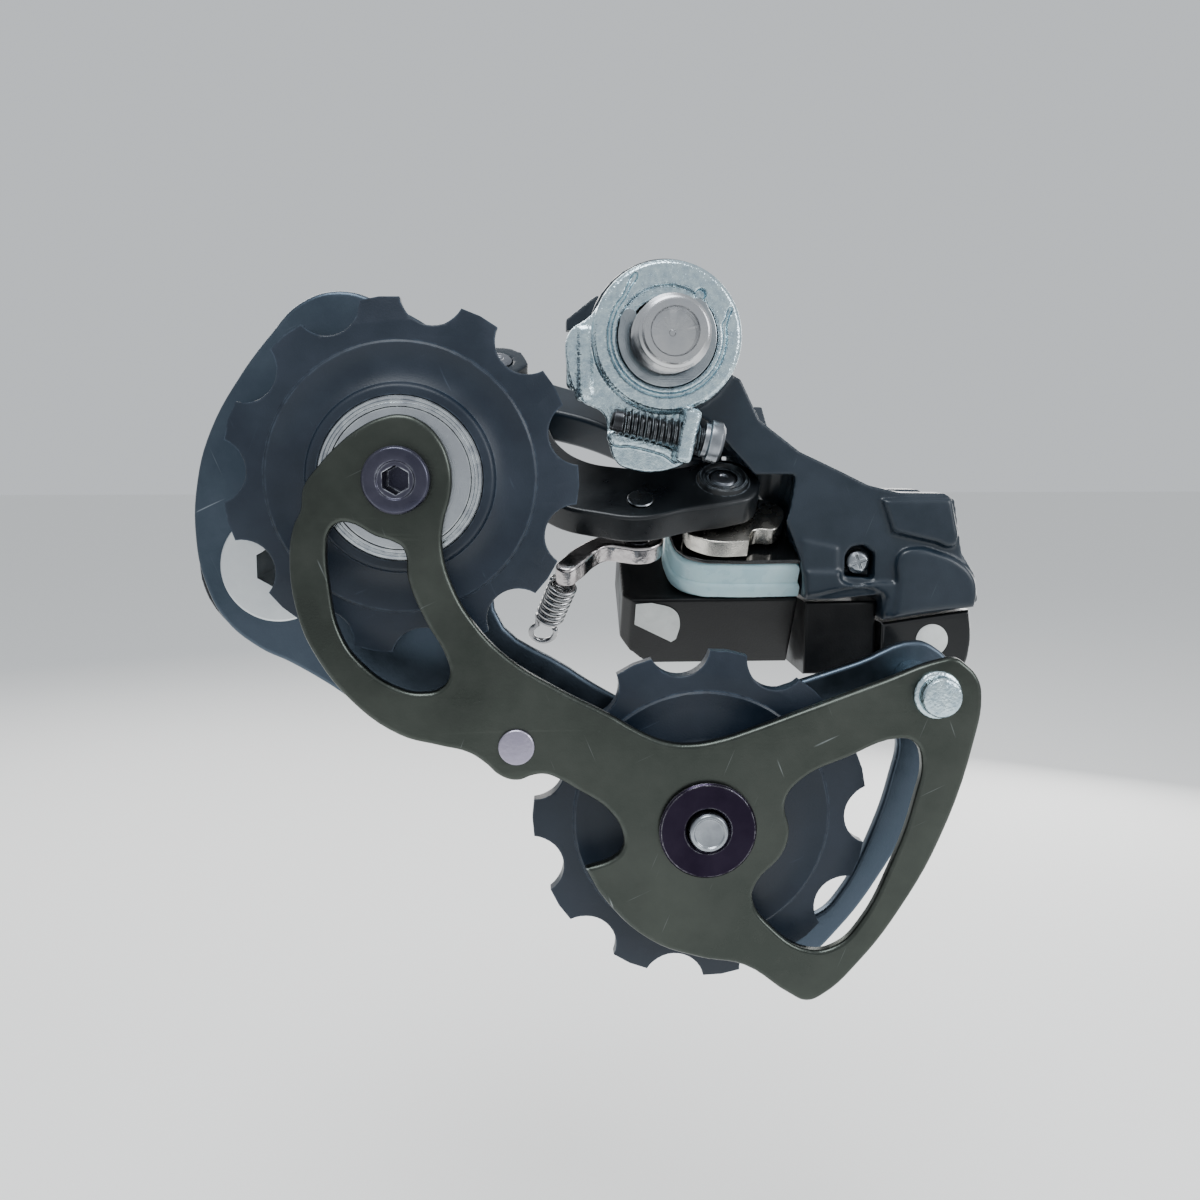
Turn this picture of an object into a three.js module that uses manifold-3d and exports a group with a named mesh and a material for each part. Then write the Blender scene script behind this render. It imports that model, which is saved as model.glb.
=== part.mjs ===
// Rear bicycle derailleur: short cage, motor driven, slant parallelogram. Millimetres, +Z up, +X forward,
// +Y towards the wheel. The origin is the hanger bolt's axis where it meets the face that rests on the hanger.
import * as THREE from "three";
import { mergeVertices } from "three/addons/utils/BufferGeometryUtils.js";
import Module from "manifold-3d";

const wasm = await Module();
wasm.setup();

// ---------------------------------------------------------------- driving dimensions
const SLANT = 34;                       // degrees the link pins lean from upright towards the wheel
const LINK_TOP = [-8.6, -6, -19.2];     // inner link's knuckle pin, where it meets the link's upper face
const LINK_LENGTH = 34;                 // pin to pin, both links
const REST_ANGLE = -30;                 // links' rest angle, measured inboard from straight forward
const SWEEP = 81;                       // degrees the links swing from the outer to the inner limit
const OUTER_OFFSET = [2, -13];          // outer link's pins from the inner link's, along and across
const P_AXIS = [50.2, -29.3];           // cage pivot, x and z
const GUIDE = [34.0, -18.1];            // guide pulley centre
const TENSION = [-3.3, -61.5];          // tension pulley centre
const PULLEY_MID = 12;                  // y of both pulleys' mid plane
const TEETH = 11;
const ROLLER_CIRCLE = 22.54;            // half inch pitch on eleven teeth
const ROLLER = 3.95;
const TOOTH_TIP = 21.6;
const OUTER_PLATE = [6.0, 7.8];         // y of the outboard cage plate's two faces
const INNER_PLATE = [16.3, 18.1];       // y of the inboard cage plate's two faces
const BARREL = 10.4;                    // hanger knuckle's radius
const KNUCKLE = [-23, -2.5];            // y of the hanger knuckle's two ends
const PIVOT_BARREL = 10.5;              // cage knuckle's radius
const MOTOR_TOP = -8.6;                 // level of the motor unit's upper face, along the pins
const GAP = 0.05;                       // between pieces that touch and move together
const ROUND = 32;                       // sides of a round

// ---------------------------------------------------------------- helpers
const rad = THREE.MathUtils.degToRad;
const polar = (r, deg) => [r * Math.cos(rad(deg)), r * Math.sin(rad(deg))];
const circle = (cx, cy, r, sides = ROUND) =>
  Array.from({ length: sides }, (_, i) => {
    const [x, y] = polar(r, (360 * i) / sides);
    return [cx + x, cy + y];
  });
const hexagon = (cx, cy, flats) => circle(cx, cy, flats / Math.sqrt(3), 6);
const box2 = (x0, x1, y0, y1) => [[x0, y0], [x1, y0], [x1, y1], [x0, y1]];

function solid(geometry) {
  const g = geometry.clone();
  g.deleteAttribute("normal");
  g.deleteAttribute("uv");
  const merged = mergeVertices(g, 1e-4);
  const p = merged.attributes.position;
  const index = merged.index.array;
  let triangles = [];
  for (let i = 0; i < index.length; i += 3) {
    const [a, b, c] = [index[i], index[i + 1], index[i + 2]];
    if (a !== b && b !== c && c !== a) triangles.push([a, b, c]);
  }
  const at = (i) => new THREE.Vector3().fromBufferAttribute(p, i);
  const volume = triangles.reduce((sum, [a, b, c]) => sum + at(a).dot(at(b).cross(at(c))), 0);
  if (volume < 0) triangles = triangles.map(([a, b, c]) => [a, c, b]);
  return new wasm.Manifold(new wasm.Mesh({
    numProp: 3,
    vertProperties: new Float32Array(p.array),
    triVerts: new Uint32Array(triangles.flat()),
  }));
}

function extrude(outline, holes, depth) {
  const shape = new THREE.Shape(outline.map(([x, y]) => new THREE.Vector2(x, y)));
  for (const hole of holes) shape.holes.push(new THREE.Path(hole.map(([x, y]) => new THREE.Vector2(x, y))));
  return new THREE.ExtrudeGeometry(shape, { depth, bevelEnabled: false });
}

// a plate whose outline is drawn in x and z, between two y
function plate(outline, yLow, yHigh, holes = []) {
  const g = extrude(outline, holes, yHigh - yLow);
  return solid(g.rotateX(Math.PI / 2).translate(0, yHigh, 0));
}

// a turned piece about an upright line of y through (x, z); the profile is [radius, y] pairs
function turned(profile, [x, z] = [0, 0], sides = ROUND) {
  const points = [...profile, profile[0]].map(([r, y]) => new THREE.Vector2(r, y));
  return solid(new THREE.LatheGeometry(points, sides).translate(x, 0, z));
}

const ringProfile = (r0, r1, y0, y1) => [[r0, y0], [r1, y0], [r1, y1], [r0, y1]];
const toLinks = (g) => g.rotateX(rad(-SLANT)).translate(...LINK_TOP);

// the same two, drawn square to the link pins: x along, u across, s up the pins
function slab(outline, sLow, sHigh, holes = []) {
  return solid(toLinks(extrude(outline, holes, sHigh - sLow).translate(0, 0, sLow)));
}
function pinTurned(profile, [x, u] = [0, 0], sides = ROUND) {
  const points = [...profile, profile[0]].map(([r, s]) => new THREE.Vector2(r, s));
  return solid(toLinks(new THREE.LatheGeometry(points, sides).rotateX(Math.PI / 2).translate(x, u, 0)));
}
// a cylinder lying along x in the links' frame
function lying(r, x0, x1, u, s, sides = 24) {
  const g = new THREE.CylinderGeometry(r, r, x1 - x0, sides).rotateZ(Math.PI / 2);
  return solid(toLinks(g.translate((x0 + x1) / 2, u, s)));
}

// a coil about the y line through (x, z)
function coil(radius, wire, y0, y1, turns, [x, z] = [0, 0]) {
  const steps = Math.round(turns * 11);
  const points = Array.from({ length: steps + 1 }, (_, i) => {
    const [px, pz] = polar(radius, (360 * turns * i) / steps);
    return new THREE.Vector3(x + px, y0 + ((y1 - y0) * i) / steps, z + pz);
  });
  return along(points, wire, steps);
}
function along(points, wire, steps) {
  const section = new THREE.Shape(circle(0, 0, wire, 6).map(([a, b]) => new THREE.Vector2(a, b)));
  const extrudePath = new THREE.CatmullRomCurve3(points);
  return solid(new THREE.ExtrudeGeometry(section, { steps, bevelEnabled: false, extrudePath }));
}

// an arc of a flat ring, as an outline
function arcBand(r0, r1, from, to, steps = 24) {
  const step = (i) => from + ((to - from) * i) / steps;
  const out = Array.from({ length: steps + 1 }, (_, i) => polar(r1, step(i)));
  const back = Array.from({ length: steps + 1 }, (_, i) => polar(r0, step(steps - i)));
  return [...out, ...back];
}

const FINISH = {
  plateInner: { color: 0x3c4440, roughness: 0.42, metalness: 0.6 },
  plateOuter: { color: 0x37465a, roughness: 0.4, metalness: 0.6 },
  resin: { color: 0x2d3c50, roughness: 0.55, metalness: 0.0 },
  zinc: { color: 0xa5bec4, roughness: 0.25, metalness: 1.0 },
  steel: { color: 0x9b968a, roughness: 0.3, metalness: 1.0 },
  darkSteel: { color: 0x4b5060, roughness: 0.35, metalness: 0.9 },
  purple: { color: 0x2d2837, roughness: 0.3, metalness: 0.8 },
  lilac: { color: 0xa096af, roughness: 0.35, metalness: 0.9 },
  gloss: { color: 0x283241, roughness: 0.25, metalness: 0.1 },
  link: { color: 0x15181c, roughness: 0.35, metalness: 0.3 },
  casing: { color: 0x101214, roughness: 0.35, metalness: 0.0 },
  gasket: { color: 0x96bece, roughness: 0.3, metalness: 0.0 },
  rubber: { color: 0x141414, roughness: 0.9, metalness: 0.0 },
  badge: { color: 0xe4e8e6, roughness: 0.5, metalness: 0.0 },
  brass: { color: 0xb08d4a, roughness: 0.35, metalness: 1.0 },
  board: { color: 0x1d5a38, roughness: 0.5, metalness: 0.0 },
};

const group = new THREE.Group();
group.name = "rear_derailleur";
function piece(name, shape, finish) {
  const m = shape.getMesh();
  const g = new THREE.BufferGeometry();
  g.setAttribute("position", new THREE.BufferAttribute(new Float32Array(m.vertProperties), 3));
  g.setIndex(new THREE.BufferAttribute(new Uint32Array(m.triVerts), 1));
  g.computeVertexNormals();
  const mesh = new THREE.Mesh(g, new THREE.MeshStandardMaterial(FINISH[finish]));
  mesh.name = name;
  group.add(mesh);
}

// ---------------------------------------------------------------- the mount: bolt, washer plate, ring, screw
const washerTop = -0.9;
const screwTilt = 12.5;
const earAt = [-2.4, 1.2, -13.05];
const screwAxis = (g) => g.rotateY(rad(-screwTilt)).translate(...earAt);
const screwBore = solid(screwAxis(new THREE.CylinderGeometry(2.25, 2.25, 30, 24).rotateZ(Math.PI / 2)
  .translate(0, 0.8, 0)));
const washerOutline = [
  [12.6, 4.6], [13.3, 3.6], [13.3, -3.2], [11.6, -8.2], [8.4, -10.2], [7.8, -13.6], [6.6, -16.6], [5.2, -17.4],
  [-1.0, -17.4], [-3.2, -15.8], [-3.4, -11.4], [-4.6, -9.2], [-6, -5], [0, 0], [4, 4.6],
];
const washer = turned(ringProfile(5.25, 10, -2, washerTop))
  .add(plate(washerOutline, -2, washerTop))
  .add(turned(ringProfile(7.75, 10, washerTop - 0.2, 0)))
  .add(solid(new THREE.BoxGeometry(1.6, 3.4, 12.4).rotateY(rad(-4)).translate(12.4, -3.4, -2)))
  .add(solid(screwAxis(new THREE.BoxGeometry(2.2, 6.6, 6.6))))
  .subtract(turned(ringProfile(0, 5.25, -3, 1)))
  .subtract(screwBore);
piece("b_washer_plate", washer, "zinc");
piece("axle_retaining_ring", plate(arcBand(5.5, 7.3, 134, 388), washerTop + GAP, -0.15), "steel");
piece("hanger_bolt", turned([
  [0, 7.3], [3.0, 8.2], [3.1, 8.5], [4.1, 8.5], [4.95, 7.6], [4.95, -19.6], [6.5, -19.6], [6.5, -22.3],
  [6.0, -22.9], [0, -22.9],
]).subtract(plate(hexagon(0, 0, 5), -24, -18.6)), "steel");
const screwBody = solid(screwAxis(new THREE.CylinderGeometry(1.95, 1.95, 12.6, 20).rotateZ(Math.PI / 2)
  .translate(4.0, 0.8, 0)));
const screwHead = solid(screwAxis(new THREE.CylinderGeometry(2.8, 2.8, 2.6, 24).rotateZ(Math.PI / 2)
  .translate(-3.45, 0.8, 0)));
const screwSocket = solid(screwAxis(new THREE.CylinderGeometry(1.15, 1.15, 3, 6).rotateZ(Math.PI / 2)
  .translate(-4.9, 0.8, 0)));
piece("b_adjust_screw", screwBody.add(screwHead).subtract(screwSocket), "darkSteel");

// ---------------------------------------------------------------- the hanger knuckle with its rear arm
const outerPin = OUTER_OFFSET;
const [ox, ou] = outerPin;
const innerTip = polar(LINK_LENGTH, REST_ANGLE);
const outerTip = [innerTip[0] + outerPin[0], innerTip[1] + outerPin[1]];
const LINK_ROUND = 4.0;                 // half width of the outer link
const OUTER_LINK = [-8.2, -2.5];        // levels of the outer link's faces
const INNER_LINK = [-4.4, 0];           // levels of the inner link's faces

// the room the outer link sweeps, seen from one of its pins; turn = 0 at the hanger knuckle, 180 at the cage's
function sweptRoom([x, u], turn, halfWidth, from, to, sLow, sHigh) {
  let room = pinTurned(ringProfile(0, halfWidth, sLow, sHigh), [x, u]);
  for (let a = from; a <= to; a += 9) {
    const along0 = rad(a + turn);
    const [c, s] = [Math.cos(along0), Math.sin(along0)];
    const corner = (l, w) => [x + l * c - w * s, u + l * s + w * c];
    const strip = [corner(0, -halfWidth), corner(LINK_LENGTH + 8, -halfWidth), corner(LINK_LENGTH + 8, halfWidth),
      corner(0, halfWidth)];
    room = room.add(slab(strip, sLow, sHigh));
  }
  return room;
}

const LIMIT_X = -26;
const LIMIT_SCREWS = [["high_limit_screw", -25.0], ["low_limit_screw", -31.0]];
const armOutline = [
  [-8, -4], [-10.6, -5.4], [-13.3, -10.9], [-19, -15.2], [-24.6, -17.8], [-28.7, -19.8], [-33.2, -20.9],
  [-39.6, -21], [-41.1, -21.9], [-42.4, -29.4], [-44.4, -32.5], [-45, -36.1], [-44.2, -37.1], [-31.3, -38.9],
  [-31.0, -35.2], [-20.3, -36.2], [-19.4, -30], [-16.5, -23], [-12, -17.5], [-6, -11], [0, -8],
];
const lugOutline = (back) => [[back, ou - 4.2], [ox, ou - 4.2], [ox + 3.1, ou - 3], [ox + 4.3, ou],
  [ox + 3.1, ou + 3], [ox, ou + 4.3], [back, ou + 4.3]];
const knuckleLug = lugOutline(-13);
const upperLug = lugOutline(-8);
const knuckle = turned([[6.05, -19.2], [6.05, -15.5], [8.2, -15.5], [8.2, KNUCKLE[1]], [BARREL, KNUCKLE[1]],
  [BARREL, KNUCKLE[0] + 1], [BARREL - 1, KNUCKLE[0]], [7.0, KNUCKLE[0]], [7.0, -19.2]])
  .add(plate(armOutline, -20.5, -4).subtract(turned(ringProfile(0, BARREL - 1, -30, 0))))
  .add(slab(knuckleLug, -11.8, OUTER_LINK[0] - 0.35))
  .add(slab(upperLug, OUTER_LINK[1] + 0.35, 1.2).subtract(turned(ringProfile(0, BARREL - 1, -30, 0))))
  .add(plate([[9, 1.2], [13.2, 1.2], [13.2, 5.8], [8, 5.8]], -9, -5.5))
  .subtract(pinTurned(ringProfile(0, 9.9, MOTOR_TOP, 1.7)).subtract(slab(upperLug, -2.15, 3)))
  .subtract(sweptRoom(outerPin, 0, 4.75, REST_ANGLE, REST_ANGLE + SWEEP, -8.55, -2.15))
  .subtract(pinTurned(ringProfile(0, 2.05, -14, 4), outerPin))
  .subtract(slab(box2(-11.8, 16, -7.35, 8.4), -32, MOTOR_TOP + 0.05))
  .subtract(plate(box2(-31.2, -20.1, -60, -35.9), -30, 0))
  .subtract(plate([[-30, -29.4], [-28.4, -28.2], [-26.6, -28.4], [-25.7, -29.6], [-25.7, -32.6], [-30, -33]],
    -7, -3))
  .subtract(plate(box2(-40.4, -34.6, -24, -20.2), -15.5, -8.5))
  .subtract(turned(ringProfile(0, 2.0, -24, -11.5), [LIMIT_X, LIMIT_SCREWS[0][1]], 24))
  .subtract(turned(ringProfile(0, 2.0, -24, -11.5), [LIMIT_X, LIMIT_SCREWS[1][1]], 24));
piece("b_knuckle", knuckle, "gloss");
piece("b_bush", turned(ringProfile(5.25, 6.0, -19.1, -3.2)), "brass");
piece("b_seal_ring", turned(ringProfile(8.7, 10.1, KNUCKLE[1] + GAP, -2.05)), "rubber");
piece("b_spring", coil(7.1, 0.62, -14.6, -3.6, 5.5), "steel");
piece("rear_cover", plate([[-44.2, -37.5], [-44.4, -43.4], [-43.2, -46.4], [-36, -47.4], [-31.4, -46.6],
  [-31.4, -39.3]], -19.5, -4.6), "gloss");
piece("case_end_cover", plate([[-31.0, -36.3], [-31.0, -47.2], [-20.6, -47.2], [-20.6, -36.4]], -19, -6.2), "casing");
piece("cover_screw", turned([[0, -4.6], [1.1, -4.6], [1.75, -5.1], [1.75, -6.95], [0, -6.95]], [-27.85, -30.7], 24)
  .subtract(plate(box2(-28.9, -26.8, -30.95, -30.45), -5.2, -4)), "zinc");
piece("cable_socket", plate(box2(-40.1, -34.9, -23.8, -21.4), -15.2, -8.8), "rubber");
piece("cover_badge", turned(ringProfile(0, 2.3, -4.55, -4.35), [-38.7, -41.9], 28), "badge");
piece("outer_pin_rear", pinTurned([[0, -12.2], [2.0, -12.2], [2.0, 1.4], [1.5, 1.7], [0, 1.7]], outerPin), "steel");
for (const [name, z] of LIMIT_SCREWS) {
  piece(name, turned([[0, -21.6], [1.7, -21.6], [1.7, -13.6], [0, -13.6]], [LIMIT_X, z], 24)
    .subtract(plate(hexagon(LIMIT_X, z, 1.6), -23, -20)), "darkSteel");
}

// ---------------------------------------------------------------- the motor unit under the links
const unit = [[-11.5, -7], [4, -7], [6.6, -5], [7.4, -1.4], [7.3, 2.4], [6.4, 5.2], [4.0, 7.2], [0.6, 7.8],
  [-11.5, 7.8]];
const shrink = (points, by, [cx, cu] = [0, 0.4]) => points.map(([x, u]) => {
  const reach = Math.hypot(x - cx, u - cu);
  return [cx + ((x - cx) * (reach - by)) / reach, cu + ((u - cu) * (reach - by)) / reach];
});
const caseOutline = [[-11.5, -7], [12.4, -7], [13.8, -5.4], [13.8, 6.4], [12.4, 7.8], [-11.5, 7.8]];
const caseCorner = solid(toLinks(new THREE.BoxGeometry(9, 20, 9).rotateY(rad(45)).translate(14.6, 0, -29.4)));
piece("motor_case", slab(caseOutline, -28, -15.4)
  .subtract(caseCorner)
  .subtract(slab(shrink(caseOutline, 1.6), -26, -15)), "casing");
piece("motor_gasket", slab(unit, -15.35, -9.3, [shrink(unit, 1.7)]), "gasket");
piece("motor_top_plate", slab(shrink(unit, 0.35), -9.25, MOTOR_TOP, [circle(0, 0, 2.15)]), "casing");
piece("motor_can", lying(3.1, 2.8, 11.4, -1.6, -18.9), "steel");
piece("motor_worm", lying(1.15, -9.4, 2.5, -1.6, -18.9, 16), "brass");
piece("circuit_board", slab(box2(-9.4, 10.6, -4.6, 5.4), -24.6, -23.8), "board");
piece("position_sensor", pinTurned(ringProfile(0, 2.6, -23.7, -22.4), [-6.4, 3]), "casing");

const toothWheel = (r, teeth, depth, [cx, cu]) => Array.from({ length: teeth * 4 }, (_, i) => {
  const [x, u] = polar(i % 4 < 2 ? r : r - depth, (360 * i) / (teeth * 4));
  return [cx + x, cu + u];
});
const idlerAt = [-6.4, 3];
piece("reduction_gear", slab(toothWheel(3.0, 15, 0.5, idlerAt), -19.8, -18.0)
  .add(slab(toothWheel(2.1, 9, 0.5, idlerAt), -18.1, -11.6)), "brass");
const camOutline = [
  [5.2, 5.2], [3.2, 6.8], [0.8, 7.6], [-3.4, 7.5], [-4.3, 4.9], [-7.3, 4.7], [-8.8, 2.6], [-9.1, 0], [-8.5, -1.3],
  [-7.2, -2.2], [-5.6, -2.9], [-4.4, -3.1], [-3, -3.4], [0, -3.6], [2.8, -2.4], [4.6, 0.4],
];
piece("output_cam", slab(camOutline, -7.7, -5.0)
  .add(pinTurned(ringProfile(0, 1.85, -14.4, -7.6)))
  .add(slab(toothWheel(4.4, 19, 0.5, [0, 0]), -13.6, -11.8)), "steel");

// ---------------------------------------------------------------- the inner link and its overload lever
const [ix, iu] = innerTip;
const innerOutline = [
  [-5.3, -1.0], [-5.0, 1.9], [-3.6, 3.9], [-1.2, 5.1], [5.2, 6.6], [12.2, 8.6], [17.5, 7.6], [23.6, 5.4], [27.4, 0.6],
  [30.6, -6], [ix + 4.2, iu + 3.2], [ix + 4.9, iu], [ix + 4.2, iu - 2.8], [ix + 2, iu - 4.6], [ix - 1.4, iu - 4.8],
  [ix - 4.0, iu - 2.8], [ix - 5.4, iu + 2.4], [22.6, -9], [19.4, -4.8], [15, -3.4], [4.2, -3.4], [2.6, -4.7],
  [0, -5.3], [-2.6, -4.7], [-4.6, -2.9],
];
const rivetAt = [11.9, 4.4];
piece("inner_link", slab(innerOutline, ...INNER_LINK)
  .add(pinTurned(ringProfile(0, 3.6, -0.2, 0.7)))
  .subtract(pinTurned(ringProfile(0, 2.05, -6, 3)))
  .subtract(pinTurned(ringProfile(0, 1.55, -6, 3), rivetAt))
  .subtract(pinTurned(ringProfile(0, 2.35, -6, 3), innerTip)), "link");
piece("inner_pin_rear", pinTurned([[0, -4.4], [2.0, -4.4], [2.0, 0.9], [1.5, 1.3], [0, 1.3]]), "darkSteel");
piece("lever_rivet", pinTurned([[0, -10.2], [1.5, -10.2], [1.5, 0.05], [1.75, 0.05], [1.6, 0.35], [0, 0.45]],
  rivetAt, 28), "zinc");
const leverOutline = [
  [8.2, 4.8], [9.4, 2.2], [11.9, 1.4], [14.2, 2.3], [15.6, 4.2], [17.4, 4.6], [19.8, 6.2], [22.6, 9.2], [23.6, 11.2],
  [22.0, 12.2], [20.0, 10.6], [18.0, 8.2], [16.2, 6.9], [14.4, 7.2], [11.9, 7.6], [9.4, 7.0],
];
piece("overload_lever", slab(leverOutline, -9.2, -6.0, [circle(...rivetAt, 1.85, 28)]), "steel");
const linkPoint = (x, u, s) => new THREE.Vector3(x, u, s)
  .applyAxisAngle(new THREE.Vector3(1, 0, 0), rad(-SLANT))
  .add(new THREE.Vector3(...LINK_TOP));
const springSteps = 66;
piece("overload_spring", along(Array.from({ length: springSteps + 1 }, (_, i) => {
  const [a, b] = polar(1.75, (360 * 6 * i) / springSteps);
  return linkPoint(21.9 + a + (2.6 * i) / springSteps, 10.6 + b, -9.9 - (7.6 * i) / springSteps);
}), 0.42, springSteps), "steel");

// ---------------------------------------------------------------- the outer link
const half = LINK_ROUND;
const edge = (l, w) => {
  const [c, s] = [Math.cos(rad(REST_ANGLE)), Math.sin(rad(REST_ANGLE))];
  return [ox + l * c - w * s, ou + l * s + w * c];
};
const capEnd = (l, from) => Array.from({ length: 11 }, (_, i) => {
  const [a, b] = polar(half, from + 18 * i);
  return edge(l + a, b);
});
piece("outer_link", slab([...capEnd(0, 90), edge(8, -half), edge(17, -half - 0.4), edge(26, -half),
  ...capEnd(LINK_LENGTH, -90), edge(26, half - 0.2), edge(17, half - 1.2), edge(8, half - 0.2)], ...OUTER_LINK, [
  circle(...outerPin, 2.35), circle(...outerTip, 2.7)]), "gloss");

// ---------------------------------------------------------------- the cage knuckle
const webOutline = [
  [17.6, -14], [19.5, -7.5], [24, -3.2], [30, -2.6], [38, -8], [50, -18.6], [58, -23], [60.4, -29], [57, -37],
  [50, -39.6], [42, -36.4], [33, -28], [24, -22],
];
const pinBlock = [
  ...[180, 216, 252].map((a) => polar(4.4, a)).map(([a, b]) => [outerTip[0] + a, outerTip[1] + b]),
  [outerTip[0] + 9, outerTip[1] - 4.4], [outerTip[0] + 15, outerTip[1] + 2], [innerTip[0] + 14, innerTip[1] + 4.6],
  ...[90, 126, 162].map((a) => polar(4.7, a)).map(([a, b]) => [innerTip[0] + a, innerTip[1] + b]),
];
const cageKnuckle = turned([[5.85, -16], [5.85, -12.3], [8.3, -12.3], [8.3, 5.4], [PIVOT_BARREL, 5.4],
  [PIVOT_BARREL, -16]], P_AXIS)
  .add(slab(pinBlock, -12, 1.2))
  .add(plate(webOutline, -34.5, -7).subtract(turned(ringProfile(0, PIVOT_BARREL - 1, -50, 0), P_AXIS)))
  .add(plate([polar(9.5, 84), polar(14.4, 90), polar(14.4, 103), polar(9.5, 106)]
    .map(([x, z]) => [x + P_AXIS[0], z + P_AXIS[1]]), 0.5, 5.4));
// only the block between the levels of the pins' ends is kept of the web
const webKeep = slab([[20, -40], [20, 20], [80, 20], [80, -40]], -12, 1.2)
  .add(turned(ringProfile(0, PIVOT_BARREL, -20, 5.4), P_AXIS))
  .add(plate([[38, -40], [38, -12], [66, -12], [66, -44]], -15.9, 5.4));
const innerRoom = sweptRoom(innerTip, 180, 5.6, REST_ANGLE - 54, REST_ANGLE + SWEEP, -4.75, 6);
const outerRoom = sweptRoom(outerTip, 180, 4.75, REST_ANGLE, REST_ANGLE + SWEEP, -8.55, -2.15);
piece("cage_knuckle", cageKnuckle.intersect(webKeep)
  .subtract(innerRoom)
  .subtract(outerRoom)
  .subtract(turned(ringProfile(0, PIVOT_BARREL + 0.3, -50, -16), P_AXIS))
  .subtract(pinTurned(ringProfile(0, 2.05, -14, 6), innerTip))
  .subtract(pinTurned(ringProfile(0, 2.05, -14, 6), outerTip)), "gloss");
piece("inner_pin_front", pinTurned([[0, -11.6], [2.0, -11.6], [2.0, 0.4], [1.5, 0.8], [0, 0.8]], innerTip), "darkSteel");
piece("outer_pin_front", pinTurned([[0, -12.2], [2.0, -12.2], [2.0, 1.3], [1.5, 1.7], [0, 1.7]], outerTip), "steel");
piece("cage_pivot_bush", turned(ringProfile(4.95, 5.8, -16, -12.4), P_AXIS), "brass");
piece("cage_spring", coil(7.0, 0.7, -11.4, 4.4, 6.5, P_AXIS), "steel");
piece("cage_seal_ring", turned(ringProfile(8.8, 10.2, 5.45, 5.68), P_AXIS), "rubber");
piece("cage_knuckle_cap", turned([[0, -18], [8.6, -18], [9.6, -17.2], [9.6, -16.05], [0, -16.05]], P_AXIS)
  .subtract(plate(hexagon(...P_AXIS, 5), -20, -17)), "gloss");

// ---------------------------------------------------------------- the cage
const tensionEnd = [[-2.6, -78.4], [-8.3, -79.6], [-14.2, -83.8], [-16.4, -84.8], [-18.4, -84.0], [-23.1, -79.5],
  [-28.1, -72.7], [-32.9, -63.6], [-36.9, -50.7], [-37.7, -45.2], [-37.0, -42.8], [-35.2, -40.9]];
const outerPlateOutline = [
  [36.7, 3.4], [41.6, 4.8], [46.5, 3.2], [50.3, -0.7], [54.1, -5.6], [58, -12.3], [59.9, -18.5], [60.5, -26],
  [59.5, -31.7], [57.2, -36.2], [53, -39.9], [49.2, -41.8], [44, -45], [38, -49.3], [31, -51.5], [24.6, -52.6],
  [22.7, -54], [20.4, -54.7], [18.1, -54], [15, -55.4], [12, -58], [9.6, -61.6], [9.2, -66], [6, -72], [2, -76],
  ...tensionEnd, [-32.6, -39.9], [-24.6, -42.6], [-14.6, -45.8], [-8.5, -47.7], [-1, -49.0], [4.4, -48.2],
  [8.1, -46.4], [13.4, -43], [23, -35.2], [21.4, -30], [20, -24], [19.8, -15], [23.4, -6], [30.5, 0.3],
];
const tensionWindow = [[-27.4, -50.4], [-29.2, -50.9], [-30.2, -52.7], [-29.5, -58.3], [-26.6, -67.2],
  [-23.0, -74.4], [-20.2, -77.2], [-16.8, -77.8], [-11.6, -74.5], [-9.2, -70.8], [-9.7, -68.7], [-12.9, -65.0],
  [-13.7, -62.2], [-13.1, -58.2], [-14.9, -55.6], [-20.8, -52.7]];
const bores = [circle(...GUIDE, 2.5), circle(...TENSION, 2.5), circle(20.3, -50.6, 1.55, 24),
  circle(-31.8, -44.8, 1.55, 24)];
const stopPinAt = [P_AXIS[0] + polar(12.6, 120)[0], P_AXIS[1] + polar(12.6, 120)[1]];
piece("cage_outer_plate", plate(outerPlateOutline, ...OUTER_PLATE, [...bores, tensionWindow,
  circle(...P_AXIS, 4.65), circle(...stopPinAt, 1.25, 20)]), "plateOuter");
const innerPlateOutline = [
  [45.4, -21.7], [45.0, -19.0], [43.1, -16.4], [40.8, -14.0], [38.2, -12.0], [35.9, -10.9], [33.4, -10.5],
  [31.0, -11.3], [29.0, -13.3], [27.9, -15.8], [27.6, -18.2], [27.9, -20.5], [28.6, -22.9], [28.9, -26],
  [27.8, -30.7], [25.1, -35.5], [21.0, -39.8], [15, -43.6], [8.9, -46.8], [4.8, -49.4], [1.8, -50.4], [-1.2, -50.7],
  [-5, -50.1], [-8.5, -49.0], [-14.6, -46.8], [-24.6, -43.2], [-32.6, -40.4], [-34.2, -40.3],
  ...[...tensionEnd].reverse(), [3.8, -75.9], [9.5, -70.4], [11.9, -66.3], [8.4, -65.1], [7.2, -63.8], [7.2, -62.0],
  [8.9, -59.0], [13.0, -56.1], [15.2, -54.8], [16.8, -54.2], [18.3, -54.3], [20.2, -54.9], [22.3, -54.3],
  [24.2, -52.6], [26.2, -51.3], [29.6, -50.4], [34.4, -49.0], [40.2, -44.6], [44.5, -38.6], [46.2, -34.1],
  [46.9, -27.6], [46.3, -23.6],
];
const guideWindow = [[42.5, -26.0], [42.2, -24.4], [41.2, -23.3], [39.8, -23.2], [36.7, -24.8], [34.6, -25.5],
  [33.5, -26.3], [33.0, -30.0], [31.1, -34.9], [28.6, -39.6], [28.3, -41.8], [29.4, -43.3], [31.2, -43.8],
  [34.2, -43.3], [38.7, -40.2], [41.1, -36.6], [42.3, -30.4]];
piece("cage_inner_plate", plate(innerPlateOutline, ...INNER_PLATE, [...bores, tensionWindow, guideWindow]),
  "plateInner");
const [, outerIn] = OUTER_PLATE;
const [innerIn, innerOut] = INNER_PLATE;
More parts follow.
